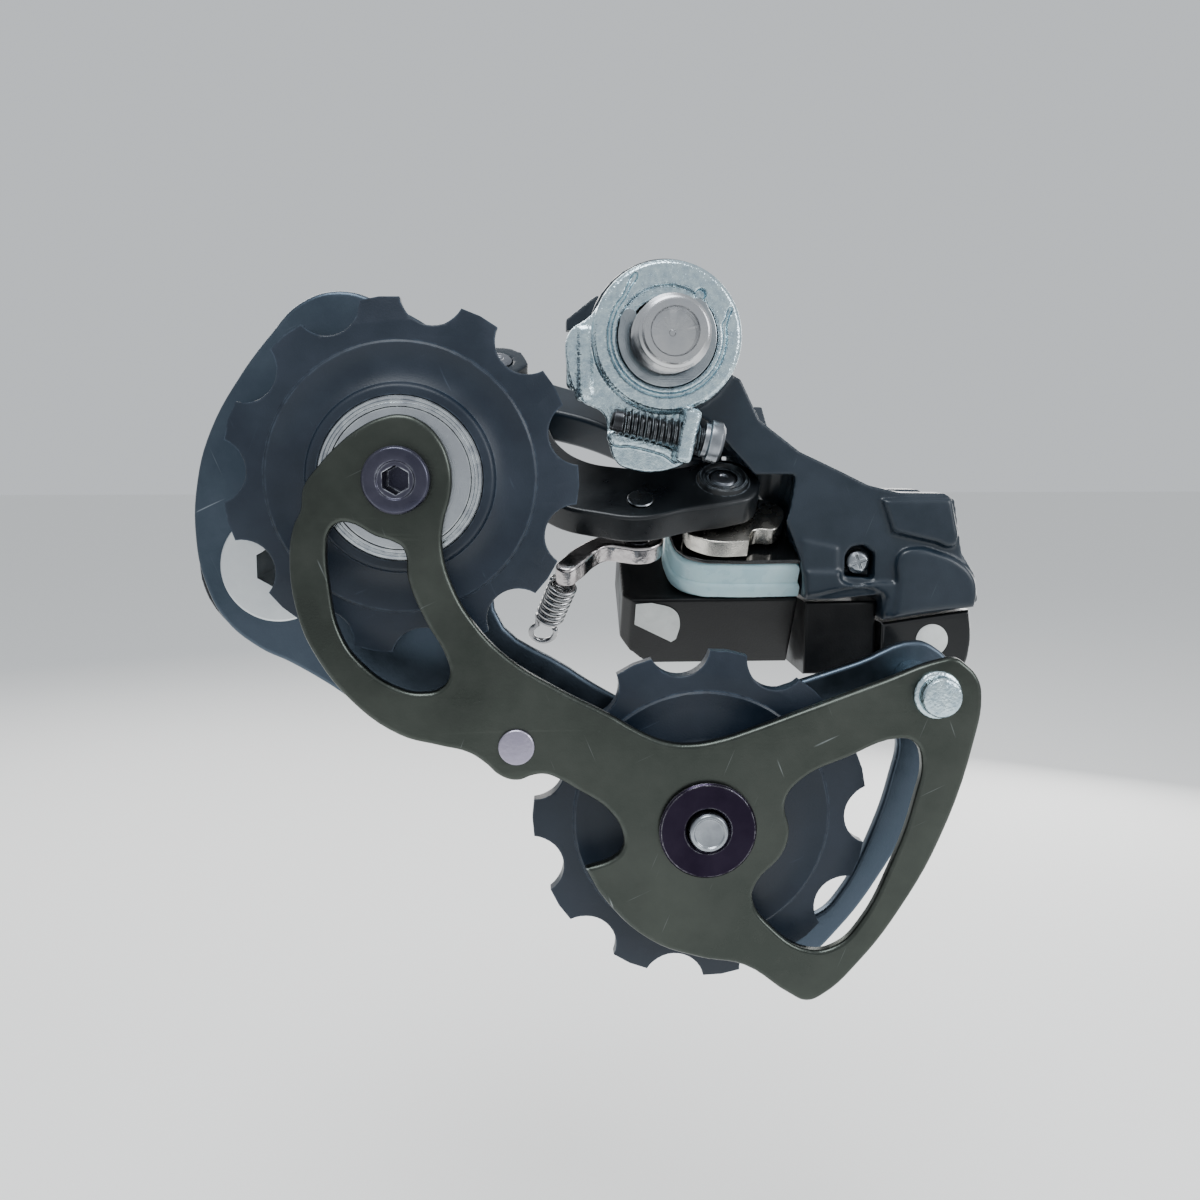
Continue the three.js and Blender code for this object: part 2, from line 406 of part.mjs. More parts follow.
piece("cage_axle", turned([[0, outerIn + 0.9], [6.8, outerIn + 0.9], [7.1, outerIn + 0.6], [7.1, outerIn + GAP],
  [4.6, outerIn + GAP], [4.6, -15.6], [0, -15.6]], P_AXIS).subtract(plate(hexagon(...P_AXIS, 5), 4, 12)), "zinc");
piece("cage_stop_pin", turned([[0, 1.2], [1.9, 1.2], [1.9, 5.6], [1.2, 5.6], [1.2, outerIn], [0, outerIn]],
  stopPinAt, 20), "steel");
piece("cage_rivet", turned([[0, 6], [1.5, 6], [1.5, outerIn + GAP], [2.4, outerIn + GAP], [2.4, innerIn - GAP],
  [1.5, innerIn - GAP], [1.5, innerOut + GAP], [2.2, innerOut + GAP], [2.2, innerOut + 0.5], [0, innerOut + 0.6]],
  [20.3, -50.6], 28), "lilac");
piece("cage_spacer_pin", turned([[0, 6], [1.5, 6], [1.5, outerIn + GAP], [2.5, outerIn + GAP],
  [2.5, innerIn - GAP], [1.5, innerIn - GAP], [1.5, innerOut + GAP], [3.0, innerOut + GAP], [3.0, innerOut + 0.6],
  [2.5, innerOut + 0.7], [2.5, innerOut + 2.1], [2.1, innerOut + 2.4], [0, innerOut + 2.4]], [-31.8, -44.8], 28),
  "zinc");
piece("guide_bolt", turned([[0, 5.6], [2.0, 5.6], [2.45, 6.0], [2.45, innerOut + GAP], [4.0, innerOut + GAP],
  [4.0, innerOut + 1.9], [3.6, innerOut + 2.4], [0, innerOut + 2.4]], GUIDE, 32)
  .subtract(plate(hexagon(...GUIDE, 3), innerOut + 0.2, 24)), "darkSteel");
piece("tension_bolt", turned([[0, 3.5], [3.6, 3.5], [4.0, 3.9], [4.0, 5.95], [2.45, 5.95], [2.45, innerOut + 1.4],
  [2.1, innerOut + 1.9], [0, innerOut + 1.9]], TENSION, 32)
  .subtract(plate(hexagon(...TENSION, 3), 2, 5.4)), "darkSteel");
piece("tension_washer", turned([[2.55, innerOut + GAP], [6.1, innerOut + GAP], [6.1, innerOut + 0.6],
  [5.8, innerOut + 0.9], [2.55, innerOut + 0.9]], TENSION), "purple");

// ---------------------------------------------------------------- the pulleys
function toothedRing() {
  const step = 360 / TEETH;
  const reach = (ROLLER_CIRCLE ** 2 + TOOTH_TIP ** 2 - ROLLER ** 2) / (2 * ROLLER_CIRCLE * TOOTH_TIP);
  const flank = THREE.MathUtils.radToDeg(Math.acos(reach));
  const outline = [];
  for (let k = 0; k < TEETH; k++) {
    const centre = polar(ROLLER_CIRCLE, k * step + step / 2);
    const start = polar(TOOTH_TIP, k * step + step / 2 - flank);
    const end = polar(TOOTH_TIP, k * step + step / 2 + flank);
    outline.push(polar(TOOTH_TIP + 0.15, k * step));
    const a0 = Math.atan2(start[1] - centre[1], start[0] - centre[0]);
    let a1 = Math.atan2(end[1] - centre[1], end[0] - centre[0]);
    if (a1 > a0) a1 -= 2 * Math.PI;
    for (let i = 0; i <= 6; i++) {
      const a = a0 + ((a1 - a0) * i) / 6;
      outline.push([centre[0] + ROLLER * Math.cos(a), centre[1] + ROLLER * Math.sin(a)]);
    }
  }
  return outline;
}
function pulley([x, z], hubRound, hubHalf, bore, turn) {
  const m = PULLEY_MID;
  const teeth = toothedRing().map(([a, b]) => {
    const [c, s] = [Math.cos(rad(turn)), Math.sin(rad(turn))];
    return [x + a * c - b * s, z + a * s + b * c];
  });
  const toothShape = plate(teeth, m - 1.35, m + 1.35).intersect(turned([[0, m - 1.35], [18, m - 1.35],
    [22, m - 0.7], [22, m + 0.7], [18, m + 1.35], [0, m + 1.35]], [x, z], 33));
  const dish = turned([[0, m - hubHalf], [hubRound, m - hubHalf], [hubRound + 0.6, m - 1.1], [15.6, m - 0.9],
    [16.2, m - 1.6], [18, m - 1.6], [18, m + 1.6], [16.2, m + 1.6], [15.6, m + 0.9], [hubRound + 0.6, m + 1.1],
    [hubRound, m + hubHalf], [0, m + hubHalf]], [x, z], 33);
  const scoop = turned([[hubRound + 0.6, m - 2], [15.6, m - 2], [15.6, m - 0.9], [hubRound + 0.6, m - 0.9]],
    [x, z], 33);
  const scoopTop = turned([[hubRound + 0.6, m + 0.9], [15.6, m + 0.9], [15.6, m + 2], [hubRound + 0.6, m + 2]],
    [x, z], 33);
  return toothShape.add(dish).subtract(scoop).subtract(scoopTop)
    .subtract(turned(ringProfile(0, bore, m - 5, m + 5), [x, z], 33));
}
const mid = PULLEY_MID;
piece("guide_pulley", pulley(GUIDE, 11.2, 2.6, 10.02, -14), "resin");
piece("guide_bearing_ring", turned(ringProfile(7.7, 9.97, mid - 2.7, mid + 2.7), GUIDE), "steel");
piece("guide_shield_inboard", turned([[5.0, mid + 2.75], [9.9, mid + 2.75], [9.9, mid + 3.0], [5.0, mid + 3.4]],
  GUIDE), "zinc");
piece("guide_shield_outboard", turned([[5.0, mid - 3.4], [9.9, mid - 3.0], [9.9, mid - 2.75], [5.0, mid - 2.75]],
  GUIDE), "zinc");
piece("guide_bush", turned(ringProfile(2.5, 4.65, outerIn + GAP, innerIn - GAP), GUIDE, 32), "steel");
piece("tension_pulley", pulley(TENSION, 9.4, 2.6, 4.2, 0.5), "resin");
piece("tension_cap_inboard", turned(ringProfile(4.3, 8.6, mid + 2.65, mid + 3.3), TENSION), "steel");
piece("tension_cap_outboard", turned(ringProfile(4.3, 8.6, mid - 3.3, mid - 2.65), TENSION), "steel");
piece("tension_bush", turned(ringProfile(2.5, 3.85, outerIn + GAP, innerIn - GAP), TENSION, 32), "brass");

export default group;
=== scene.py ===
import bpy
import math
from mathutils import Matrix, Vector


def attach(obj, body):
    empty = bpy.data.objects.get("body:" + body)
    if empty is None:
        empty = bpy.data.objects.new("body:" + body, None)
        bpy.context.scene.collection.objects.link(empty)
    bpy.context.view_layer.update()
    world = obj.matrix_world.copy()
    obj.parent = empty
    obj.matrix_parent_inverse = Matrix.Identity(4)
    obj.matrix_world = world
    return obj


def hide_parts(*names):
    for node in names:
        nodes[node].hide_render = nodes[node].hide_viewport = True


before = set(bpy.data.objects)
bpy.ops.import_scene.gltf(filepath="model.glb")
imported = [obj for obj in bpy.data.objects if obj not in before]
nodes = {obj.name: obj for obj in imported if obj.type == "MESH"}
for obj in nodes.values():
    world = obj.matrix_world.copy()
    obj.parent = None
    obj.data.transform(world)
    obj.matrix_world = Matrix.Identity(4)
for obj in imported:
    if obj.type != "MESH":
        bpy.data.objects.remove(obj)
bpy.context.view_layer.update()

# ---- Studio
# A pale floor below the hanging derailleur, a pale surround, and soft lights above and beside the camera,
# which looks at the inboard side from a hand's breadth away.
bpy.ops.object.select_all(action="DESELECT")
bpy.ops.object.camera_add(location=(0.01893, 0.161, -0.01292))
camera = bpy.context.object
camera.rotation_euler = Vector((-0.0612, -0.9888, -0.1362)).to_track_quat("-Z", "Y").to_euler()
camera.data.lens = 36
camera.data.sensor_width = 36
camera.data.clip_start = 0.01
bpy.context.scene.camera = camera

bpy.ops.mesh.primitive_plane_add(size=6, location=(0, 0, -0.165))
floor = bpy.context.object
floor.name = "floor"
pale_floor = bpy.data.materials.new("pale_floor")
pale_floor.use_nodes = True
chalk = pale_floor.node_tree.nodes["Principled BSDF"].inputs
chalk["Base Color"].default_value = (0.90, 0.90, 0.89, 1)
chalk["Roughness"].default_value = 0.9
floor.data.materials.append(pale_floor)

surround = bpy.data.worlds.new("pale_surround")
surround.use_nodes = True
sky = surround.node_tree.nodes["Background"].inputs
sky["Color"].default_value = (0.86, 0.90, 0.94, 1)
sky["Strength"].default_value = 0.78
bpy.context.scene.world = surround

hub_of_light = Vector((0.005, 0, -0.03))
for name, place, size, watts, colour in (
    ("window_above", (0.06, 0.22, 0.42), 0.30, 2.0, (0.92, 0.96, 1.0)),
    ("window_side", (-0.36, 0.26, 0.12), 0.26, 1.1, (0.95, 0.97, 1.0)),
    ("lamp_behind", (0.20, -0.42, 0.26), 0.36, 2.0, (1.0, 0.98, 0.95)),
    ("lamp_low", (-0.22, -0.34, 0.02), 0.30, 0.9, (1.0, 0.99, 0.97)),
):
    bpy.ops.object.light_add(type="AREA", location=place)
    lamp = bpy.context.object
    lamp.name = name
    lamp.data.shape = "DISK"
    lamp.data.size = size
    lamp.data.energy = watts
    lamp.data.color = colour
    lamp.rotation_euler = (hub_of_light - lamp.location).to_track_quat("-Z", "Y").to_euler()

# ---- Hanger bolt
# The M10 steel bolt that screws the derailleur to the frame. It is cold headed and thread rolled, with a coned
# recess in its free end, and a 5 mm hexagon socket in its outboard head.
mm = 0.001
SLANT = 34
pin_axis_up = Matrix.Rotation(math.radians(90), 4, "X")
link_frame = Matrix.Translation(Vector((-8.6, -6, -19.2)) * mm) @ Matrix.Rotation(math.radians(-SLANT), 4, "X")


def only(piece):
    bpy.ops.object.select_all(action="DESELECT")
    piece.select_set(True)
    bpy.context.view_layer.objects.active = piece


def settle(piece, place):
    only(piece)
    piece.matrix_world = place
    bpy.ops.object.transform_apply(location=True, rotation=True, scale=True)


def close_up(piece):
    only(piece)
    bpy.ops.object.mode_set(mode="EDIT")
    bpy.ops.mesh.select_all(action="SELECT")
    bpy.ops.mesh.remove_doubles(threshold=0.000002)
    bpy.ops.mesh.normals_make_consistent(inside=False)
    bpy.ops.object.mode_set(mode="OBJECT")


def applied(piece, kind, **settings):
    only(piece)
    modifier = piece.modifiers.new("step", kind)
    for key, value in settings.items():
        setattr(modifier, key, value)
    bpy.ops.object.modifier_apply(modifier=modifier.name)


def smooth_faces(piece, edge=0.0, segments=2, angle=35):
    if edge:
        applied(piece, "BEVEL", width=edge * mm, segments=segments, limit_method="ANGLE",
                angle_limit=math.radians(28))
    only(piece)
    bpy.ops.object.shade_smooth_by_angle(angle=math.radians(angle))
    applied(piece, "WEIGHTED_NORMAL", keep_sharp=True, weight=100)


def cut(piece, cutter, operation="DIFFERENCE"):
    applied(piece, "BOOLEAN", operation=operation, object=cutter, solver="EXACT")
    bpy.data.objects.remove(cutter, do_unlink=True)
    close_up(piece)


def join(piece, other):
    cut(piece, other, "UNION")


def turned(name, profile, centre=(0, 0), leaning=False, steps=96):
    """A turned piece; the profile is (radius, place along the axis) in mm, along y, or up the link pins."""
    bpy.ops.object.select_all(action="DESELECT")
    bpy.ops.mesh.primitive_plane_add(size=mm)
    piece = bpy.context.object
    piece.name = name
    bpy.ops.object.mode_set(mode="EDIT")
    bpy.ops.mesh.select_all(action="SELECT")
    bpy.ops.mesh.merge(type="CENTER")
    loop = list(profile) + ([profile[0]] if profile[0][0] else [])
    here = Vector((0, 0, 0))
    for i, (radius, along) in enumerate(loop):
        step = Vector((radius * mm, along * mm, 0)) - here
        here = here + step
        if i:
            bpy.ops.mesh.extrude_vertices_move(TRANSFORM_OT_translate={"value": step})
        else:
            bpy.ops.transform.translate(value=step)
    bpy.ops.mesh.select_all(action="SELECT")
    bpy.ops.mesh.spin(steps=steps, angle=2 * math.pi, center=(0, 0, 0), axis=(0, 1, 0))
    bpy.ops.object.mode_set(mode="OBJECT")
    if leaning:
        settle(piece, link_frame @ Matrix.Translation((centre[0] * mm, centre[1] * mm, 0)) @ pin_axis_up)
    else:
        settle(piece, Matrix.Translation((centre[0] * mm, 0, centre[1] * mm)))
    close_up(piece)
    return piece


def drill(piece, radius, low, high, centre=(0, 0), leaning=False, sides=48):
    """Cuts a round or, with six sides, a hexagon hole along y or along the link pins."""
    bpy.ops.object.select_all(action="DESELECT")
    bpy.ops.mesh.primitive_cylinder_add(vertices=sides, radius=radius * mm, depth=(high - low) * mm)
    cutter = bpy.context.object
    middle = (low + high) / 2 * mm
    if leaning:
        settle(cutter, link_frame @ Matrix.Translation((centre[0] * mm, centre[1] * mm, middle)))
    else:
        settle(cutter, Matrix.Translation((centre[0] * mm, middle, centre[1] * mm)) @ pin_axis_up)
    cut(piece, cutter)


def hexagon_socket(piece, flats, low, high, centre=(0, 0)):
    drill(piece, flats / math.sqrt(3), low, high, centre, sides=6)


def thread(name, crest, root, pitch, length, place):
    """A screw thread: one ridge drawn at the root, screwed along its axis, closed at both ends."""
    half_ridge = pitch * 0.42
    bpy.ops.object.select_all(action="DESELECT")
    bpy.ops.mesh.primitive_circle_add(vertices=4, radius=half_ridge * mm, rotation=(math.radians(90), 0, 0))
    ridge = bpy.context.object
    ridge.name = name
    bpy.ops.object.transform_apply(rotation=True)
    ridge.scale = ((crest - root) / half_ridge, 1, 1)
    ridge.location = (root * mm, 0, 0)
    bpy.ops.object.transform_apply(location=True, scale=True)
    applied(ridge, "SCREW", axis="Z", screw_offset=pitch * mm, iterations=int(length / pitch), steps=32,
            render_steps=32, use_merge_vertices=True)
    bpy.ops.object.mode_set(mode="EDIT")
    bpy.ops.mesh.select_all(action="DESELECT")
    bpy.ops.mesh.select_non_manifold()
    bpy.ops.mesh.edge_face_add()
    bpy.ops.object.mode_set(mode="OBJECT")
    settle(ridge, place)
    close_up(ridge)
    return ridge


def finished(piece, body, material, slot, *stands_for):
    piece.data.materials.clear()
    piece.data.materials.append(material)
    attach(piece, body)
    if stands_for:
        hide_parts(*stands_for)
    return piece


def smoothed(piece, edge, body, material, slot, *stands_for):
    """Rolls a hard piece's edges by edge mm, smooths its faces, and finishes it."""
    smooth_faces(piece, edge)
    return finished(piece, body, material, slot, *stands_for)


def repaint(node, material):
    nodes[node].data.materials.clear()
    nodes[node].data.materials.append(material)


class Tree:
    """Short words for building a node tree."""

    def __init__(self, tree):
        self.tree = tree

    def node(self, kind, **settings):
        node = self.tree.nodes.new("ShaderNode" + kind)
        for key, value in settings.items():
            setattr(node, key, value)
        return node

    def link(self, value, socket):
        if isinstance(value, (int, float)):
            socket.default_value = value
        elif isinstance(value, tuple):
            socket.default_value = (*value, 1) if len(value) == 3 and socket.type == "RGBA" else value
        else:
            self.tree.links.new(value, socket)

    def math(self, operation, first, second=0.0, clamp=False):
        node = self.node("Math", operation=operation, use_clamp=clamp)
        self.link(first, node.inputs[0])
        self.link(second, node.inputs[1])
        return node.outputs[0]

    def noise(self, where, scale, detail=3.0, roughness=0.5):
        node = self.node("TexNoise")
        self.link(where, node.inputs["Vector"])
        self.link(scale, node.inputs["Scale"])
        self.link(detail, node.inputs["Detail"])
        self.link(roughness, node.inputs["Roughness"])
        return node.outputs["Fac"]

    def span(self, value, low, high, to_low=0.0, to_high=1.0):
        node = self.node("MapRange")
        for socket, number in (("Value", value), ("From Min", low), ("From Max", high), ("To Min", to_low),
                               ("To Max", to_high)):
            self.link(number, node.inputs[socket])
        return node.outputs["Result"]

    def mix(self, factor, first, second):
        node = self.node("Mix", data_type="RGBA")
        self.link(factor, node.inputs["Factor"])
        self.link(first, node.inputs[6])
        self.link(second, node.inputs[7])
        return node.outputs[2]

    def place(self):
        return self.node("TexCoord").outputs["Object"]

    def group(self, group, **values):
        node = self.node("Group", node_tree=group)
        for key, value in values.items():
            node.inputs[key.replace("_", " ")].default_value = value
        return node


def effect(name, inputs, outputs):
    tree = bpy.data.node_groups.new(name, "ShaderNodeTree")
    for label, value in inputs.items():
        tree.interface.new_socket(label, in_out="INPUT", socket_type="NodeSocketFloat").default_value = value
    for label in outputs:
        tree.interface.new_socket(label, in_out="OUTPUT", socket_type="NodeSocketFloat")
    return Tree(tree), tree.nodes.new("NodeGroupInput").outputs, tree.nodes.new("NodeGroupOutput").inputs


# a lighter tone at edges, bare metal where rubbed and on some finishes a painted highlight: where the surface turns
# within the width, broken up by noise
t, given, found = effect("edge_rub_and_glint", {"Width": 0.0003, "Breakup": 900.0, "Amount": 1.0}, ["Mask"])
rounded = t.node("Bevel", samples=6)
t.link(given["Width"], rounded.inputs["Radius"])
facing = t.node("VectorMath", operation="DOT_PRODUCT")
t.link(rounded.outputs["Normal"], facing.inputs[0])
t.link(t.node("NewGeometry").outputs["Normal"], facing.inputs[1])
broken = t.span(t.noise(t.place(), given["Breakup"], 4.0), 0.35, 0.6)
t.link(t.math("MULTIPLY", t.math("MULTIPLY", t.span(facing.outputs["Value"], 0.995, 0.90), broken),
              given["Amount"], True), found["Mask"])
edge_rub_and_glint = t.tree

# fine grain for bump, and slow smudges for colour and roughness
t, given, found = effect("surface_grain", {"Grain scale": 6000.0, "Smudge scale": 160.0}, ["Height", "Smudge"])
t.link(t.noise(t.place(), given["Grain scale"], 2.0), found["Height"])
t.link(t.span(t.noise(t.place(), given["Smudge scale"], 5.0, 0.6), 0.35, 0.65), found["Smudge"])
surface_grain = t.tree

# thin straight handling marks in three directions, in patches
t, given, found = effect("scratches", {"Amount": 1.0}, ["Mask"])
marks = 0.0
for turn_by, tilt_by, stretch, scale in ((25, 20, 34, 2600), (112, -25, 28, 2100), (68, 10, 44, 3300)):
    lay = t.node("Mapping", vector_type="TEXTURE")
    lay.inputs["Rotation"].default_value = (math.radians(tilt_by), math.radians(turn_by), 0)
    lay.inputs["Scale"].default_value = (stretch, 2.5, 1)
    t.link(t.place(), lay.inputs["Vector"])
    line = t.span(t.noise(lay.outputs["Vector"], float(scale), 1.0), 0.75, 0.82)
    patch = t.span(t.noise(t.place(), 90.0 + turn_by, 2.0), 0.50, 0.64)
    marks = t.math("MAXIMUM", t.math("MULTIPLY", line, patch), marks)
t.link(t.math("MULTIPLY", marks, given["Amount"], True), found["Mask"])
scratches = t.tree

# circular tool lines round an axis along y
t, given, found = effect("turning_lines", {"Centre X": 0.0, "Centre Z": 0.0, "Pitch": 0.00012}, ["Height"])
parts = t.node("SeparateXYZ")
t.link(t.place(), parts.inputs[0])
across = t.math("SUBTRACT", parts.outputs[0], given["Centre X"])
upward = t.math("SUBTRACT", parts.outputs[2], given["Centre Z"])
reach = t.math("SQRT", t.math("ADD", t.math("MULTIPLY", across, across), t.math("MULTIPLY", upward, upward)))
wander = t.node("CombineXYZ")
t.link(t.math("DIVIDE", reach, given["Pitch"]), wander.inputs[0])
t.link(t.noise(wander.outputs[0], 1.0, 4.0, 0.7), found["Height"])
turning_lines = t.tree


def coated(name, colour, smudged, metallic=1.0, rough=(0.2, 0.4), bump=0.06, grain=6000.0, smudge=160.0,
           rub_and_glint_tone=None, rub_and_glint_amount=0.0, width=0.0003, scratched=0.0, coat=0.0, lines=None, line_bump=0.25,
           specular=0.5):
    """A finish: two colours smudged together, fine grain, and a lighter tone at edges and marks, which is bare metal
    where rubbed and, on some finishes, a painted highlight along the edges.
    """
    finish = bpy.data.materials.new(name)
    finish.use_nodes = True
    t = Tree(finish.node_tree)
    shader = t.tree.nodes["Principled BSDF"]
    surface = t.group(surface_grain, Grain_scale=grain, Smudge_scale=smudge)
    tone = t.mix(surface.outputs["Smudge"], colour, smudged)
    roughness = t.span(surface.outputs["Smudge"], 0.0, 1.0, *rough)
    # the edge tone: rubbed bare metal, and on some finishes a painted highlight along the edges
    if rub_and_glint_tone:
        mask = t.group(edge_rub_and_glint, Width=width, Amount=rub_and_glint_amount).outputs["Mask"]
        if scratched:
            mask = t.math("MAXIMUM", mask, t.group(scratches, Amount=scratched).outputs["Mask"])
        tone = t.mix(mask, tone, rub_and_glint_tone)
    t.link(tone, shader.inputs["Base Color"])
    t.link(roughness, shader.inputs["Roughness"])
    shader.inputs["Metallic"].default_value = metallic
    shader.inputs["Coat Weight"].default_value = coat
    shader.inputs["Coat Roughness"].default_value = 0.1
    shader.inputs["Specular IOR Level"].default_value = specular
    relief = t.node("Bump")
    relief.inputs["Strength"].default_value = bump
    relief.inputs["Distance"].default_value = 0.0001
    t.link(surface.outputs["Height"], relief.inputs["Height"])
    if lines:
        tool = t.group(turning_lines, Centre_X=lines[0] * mm, Centre_Z=lines[1] * mm)
        ring = t.node("Bump")
        ring.inputs["Strength"].default_value = line_bump
        ring.inputs["Distance"].default_value = 0.00005
        t.link(tool.outputs["Height"], ring.inputs["Height"])
        t.link(relief.outputs["Normal"], ring.inputs["Normal"])
        relief = ring
    t.link(relief.outputs["Normal"], shader.inputs["Normal"])
    return finish


turned_steel = coated("turned_steel", (0.60, 0.60, 0.60), (0.45, 0.46, 0.48), rough=(0.16, 0.30), lines=(0, 0))
hanger_bolt = turned("hanger_bolt_turned", [
    (0, 5.3), (0.35, 5.3), (0.45, 5.45), (2.9, 5.9), (2.98, 8.3), (3.15, 8.5), (3.95, 8.5), (4.15, 8.3),
    (4.15, 7.4), (4.5, 7.2), (4.5, -19.6), (6.3, -19.6), (6.5, -19.8), (6.5, -22.4), (6.0, -22.9), (0, -22.9)])
hexagon_socket(hanger_bolt, 5, -24, -18.6)
join(hanger_bolt, thread("hanger_thread", 4.95, 4.4, 1.0, 9.5, Matrix.Translation((0, -2.4 * mm, 0)) @
                         Matrix.Rotation(math.radians(-90), 4, "X")))
smoothed(hanger_bolt, 0.05, "mount", turned_steel, "steel", "hanger_bolt")

# ---- Washer plate, retaining ring
# The pressed and zinc plated steel plate that stops the derailleur on the hanger, and the spring ring that holds
# it on the bolt. Both are blanked from sheet; the plate's rim, lug and screw ear are pressed up.
def stamped(name, outline, low, high, edge=0.3, holes=(), leaning=False, steps=6, rounded=True):
    """A stamped plate: a filled curve through the outline's points, from low to high, with rolled edges."""
    bpy.ops.object.select_all(action="DESELECT")
    bpy.ops.curve.primitive_bezier_curve_add()
    piece = bpy.context.object
    piece.name = name
    curve = piece.data
    curve.dimensions = "2D"
    curve.fill_mode = "BOTH"
    curve.splines.clear()
    for loop in (outline, *holes):
        spline = curve.splines.new("BEZIER")
        spline.bezier_points.add(len(loop) - 1)
        for point, place in zip(spline.bezier_points, loop):
            kind = "AUTO" if rounded and len(place) == 2 else "VECTOR"
            point.co = (place[0] * mm, place[1] * mm, 0)
            point.handle_left_type = kind
            point.handle_right_type = kind
        spline.use_cyclic_u = True
        spline.resolution_u = steps if rounded else 1
    curve.extrude = ((high - low) / 2 - edge) * mm
    curve.bevel_depth = edge * mm
    curve.bevel_resolution = 3
    curve.offset = -edge * mm
    bpy.ops.object.convert(target="MESH")
    middle = (low + high) / 2 * mm
    if leaning:
        settle(piece, link_frame @ Matrix.Translation((0, 0, middle)))
    else:
        settle(piece, Matrix.Translation((0, middle, 0)) @ pin_axis_up)
    close_up(piece)
    return piece


def round_hole(x, z, radius, count=16):
    turns = [2 * math.pi * i / count for i in range(count)]
    return [(x + radius * math.cos(a), z + radius * math.sin(a)) for a in turns]


def arc(radius, start, end, count, centre=(0, 0)):
    turns = [math.radians(start + (end - start) * i / (count - 1)) for i in range(count)]
    return [(centre[0] + radius * math.cos(a), centre[1] + radius * math.sin(a)) for a in turns]


def block(width, depth, height, place):
    bpy.ops.object.select_all(action="DESELECT")
    bpy.ops.mesh.primitive_cube_add(size=mm)
    piece = bpy.context.object
    piece.scale = (width, depth, height)
    bpy.ops.object.transform_apply(scale=True)
    settle(piece, place)
    return piece


def cast(piece, grain, softness, keep=1.0):
    """Turns joined shapes into one flowing skin with soft edges, as a casting or a pressing has."""
    applied(piece, "REMESH", mode="VOXEL", voxel_size=grain * mm)
    applied(piece, "SMOOTH", factor=0.5, iterations=softness)
    if keep < 1:
        applied(piece, "DECIMATE", ratio=keep)
    only(piece)
    bpy.ops.object.shade_smooth()


# the near-white edge tone is partly rubbed plating and partly a painted highlight on the pressed edges
zinc = coated("zinc_plating", (0.70, 0.85, 0.89), (0.42, 0.54, 0.61), rough=(0.14, 0.28), bump=1.0,
              grain=2700.0, smudge=1100.0, rub_and_glint_tone=(0.95, 0.98, 0.98), rub_and_glint_amount=0.9, width=0.0004)
WASHER_TOP = -0.9
screw_tilt = Matrix.Rotation(math.radians(-12.5), 4, "Y")
screw_frame = Matrix.Translation(Vector((-2.4, 2.0, -13.05)) * mm) @ screw_tilt
plate = stamped("washer_plate_pressed", [
    (10.3, 2.6), (13.0, 0.5), (13.4, -3.2), (11.6, -8.2), (8.4, -10.2), (7.8, -13.6), (6.6, -16.6), (5.2, -17.4),
    (-1.0, -17.4), (-3.2, -15.8), (-3.4, -11.4), *arc(10, 248, 142, 10), *arc(10, 130, 24, 9)],
    -2, WASHER_TOP, 0.25)
join(plate, turned("rim", [(6.7, -1.6), (6.7, -0.25), (6.9, -0.05), (9.5, 0), (10, -0.45), (10, -1.9)]))
for width, depth, height, x, y, z in ((2.6, 4.6, 10.0, 10.9, -2.9, -3.4), (2.0, 3.6, 7.4, 12.3, -3.4, -3.2)):
    fold = block(width, depth, height, Matrix.Translation(Vector((x, y, z)) * mm))
    applied(fold, "BEVEL", width=0.9 * mm, segments=4)
    join(plate, fold)
ear = block(2.3, 6.4, 7.2, Matrix.Translation(Vector((-2.4, 1.2, -13.0)) * mm) @ screw_tilt)
applied(ear, "BEVEL", width=0.8 * mm, segments=4)
join(plate, ear)
join(plate, stamped("tab_lip", [(7.7, -12.4), (4.2, -13.0), (0.6, -13.9), (-1.2, -14.9), (-1.6, -16.6), (0.4, -15.7),
                                (4.4, -14.6), (7.7, -13.9)], -2, 0.1, 0.6))
groove = stamped("groove", [
    *arc(8.0, 42, -188, 24), (-8.2, 2.5), (-8.6, 3.55), (-8.35, 3.9), (-8.0, 3.5), (-7.66, 2.36),
    *arc(7.4, -192, 40, 24), (4.85, 6.35), (3.95, 7.8), (4.1, 8.25), (4.5, 8.1), (5.35, 6.65)], -0.7, 1, 0.05)
cut(plate, groove)
drill(plate, 0.75, -1.6, 1, (-4.4, 5.5), sides=24)
drill(plate, 5.25, -3, 1, sides=96)
cast(plate, 0.13, 3)
finished(plate, "mount", zinc, "zinc_plate", "b_washer_plate")

ring_steel = coated("ring_steel", (0.46, 0.50, 0.52), (0.30, 0.33, 0.36), rough=(0.14, 0.26), lines=(0, 0))
ring = stamped("retaining_ring_blanked", [*arc(6.6, 136, 386, 22), *arc(5.0, 386, 136, 20)], -0.85, -0.1, 0.12)
for at in (134, 388):
    join(ring, turned("ring_tip", [(0, -0.85), (0.9, -0.85), (0.98, -0.2), (0.85, -0.08), (0, -0.06)],
                      arc(5.75, at, at, 2)[0], steps=32))
smoothed(ring, 0, "mount", ring_steel, "steel", "axle_retaining_ring")

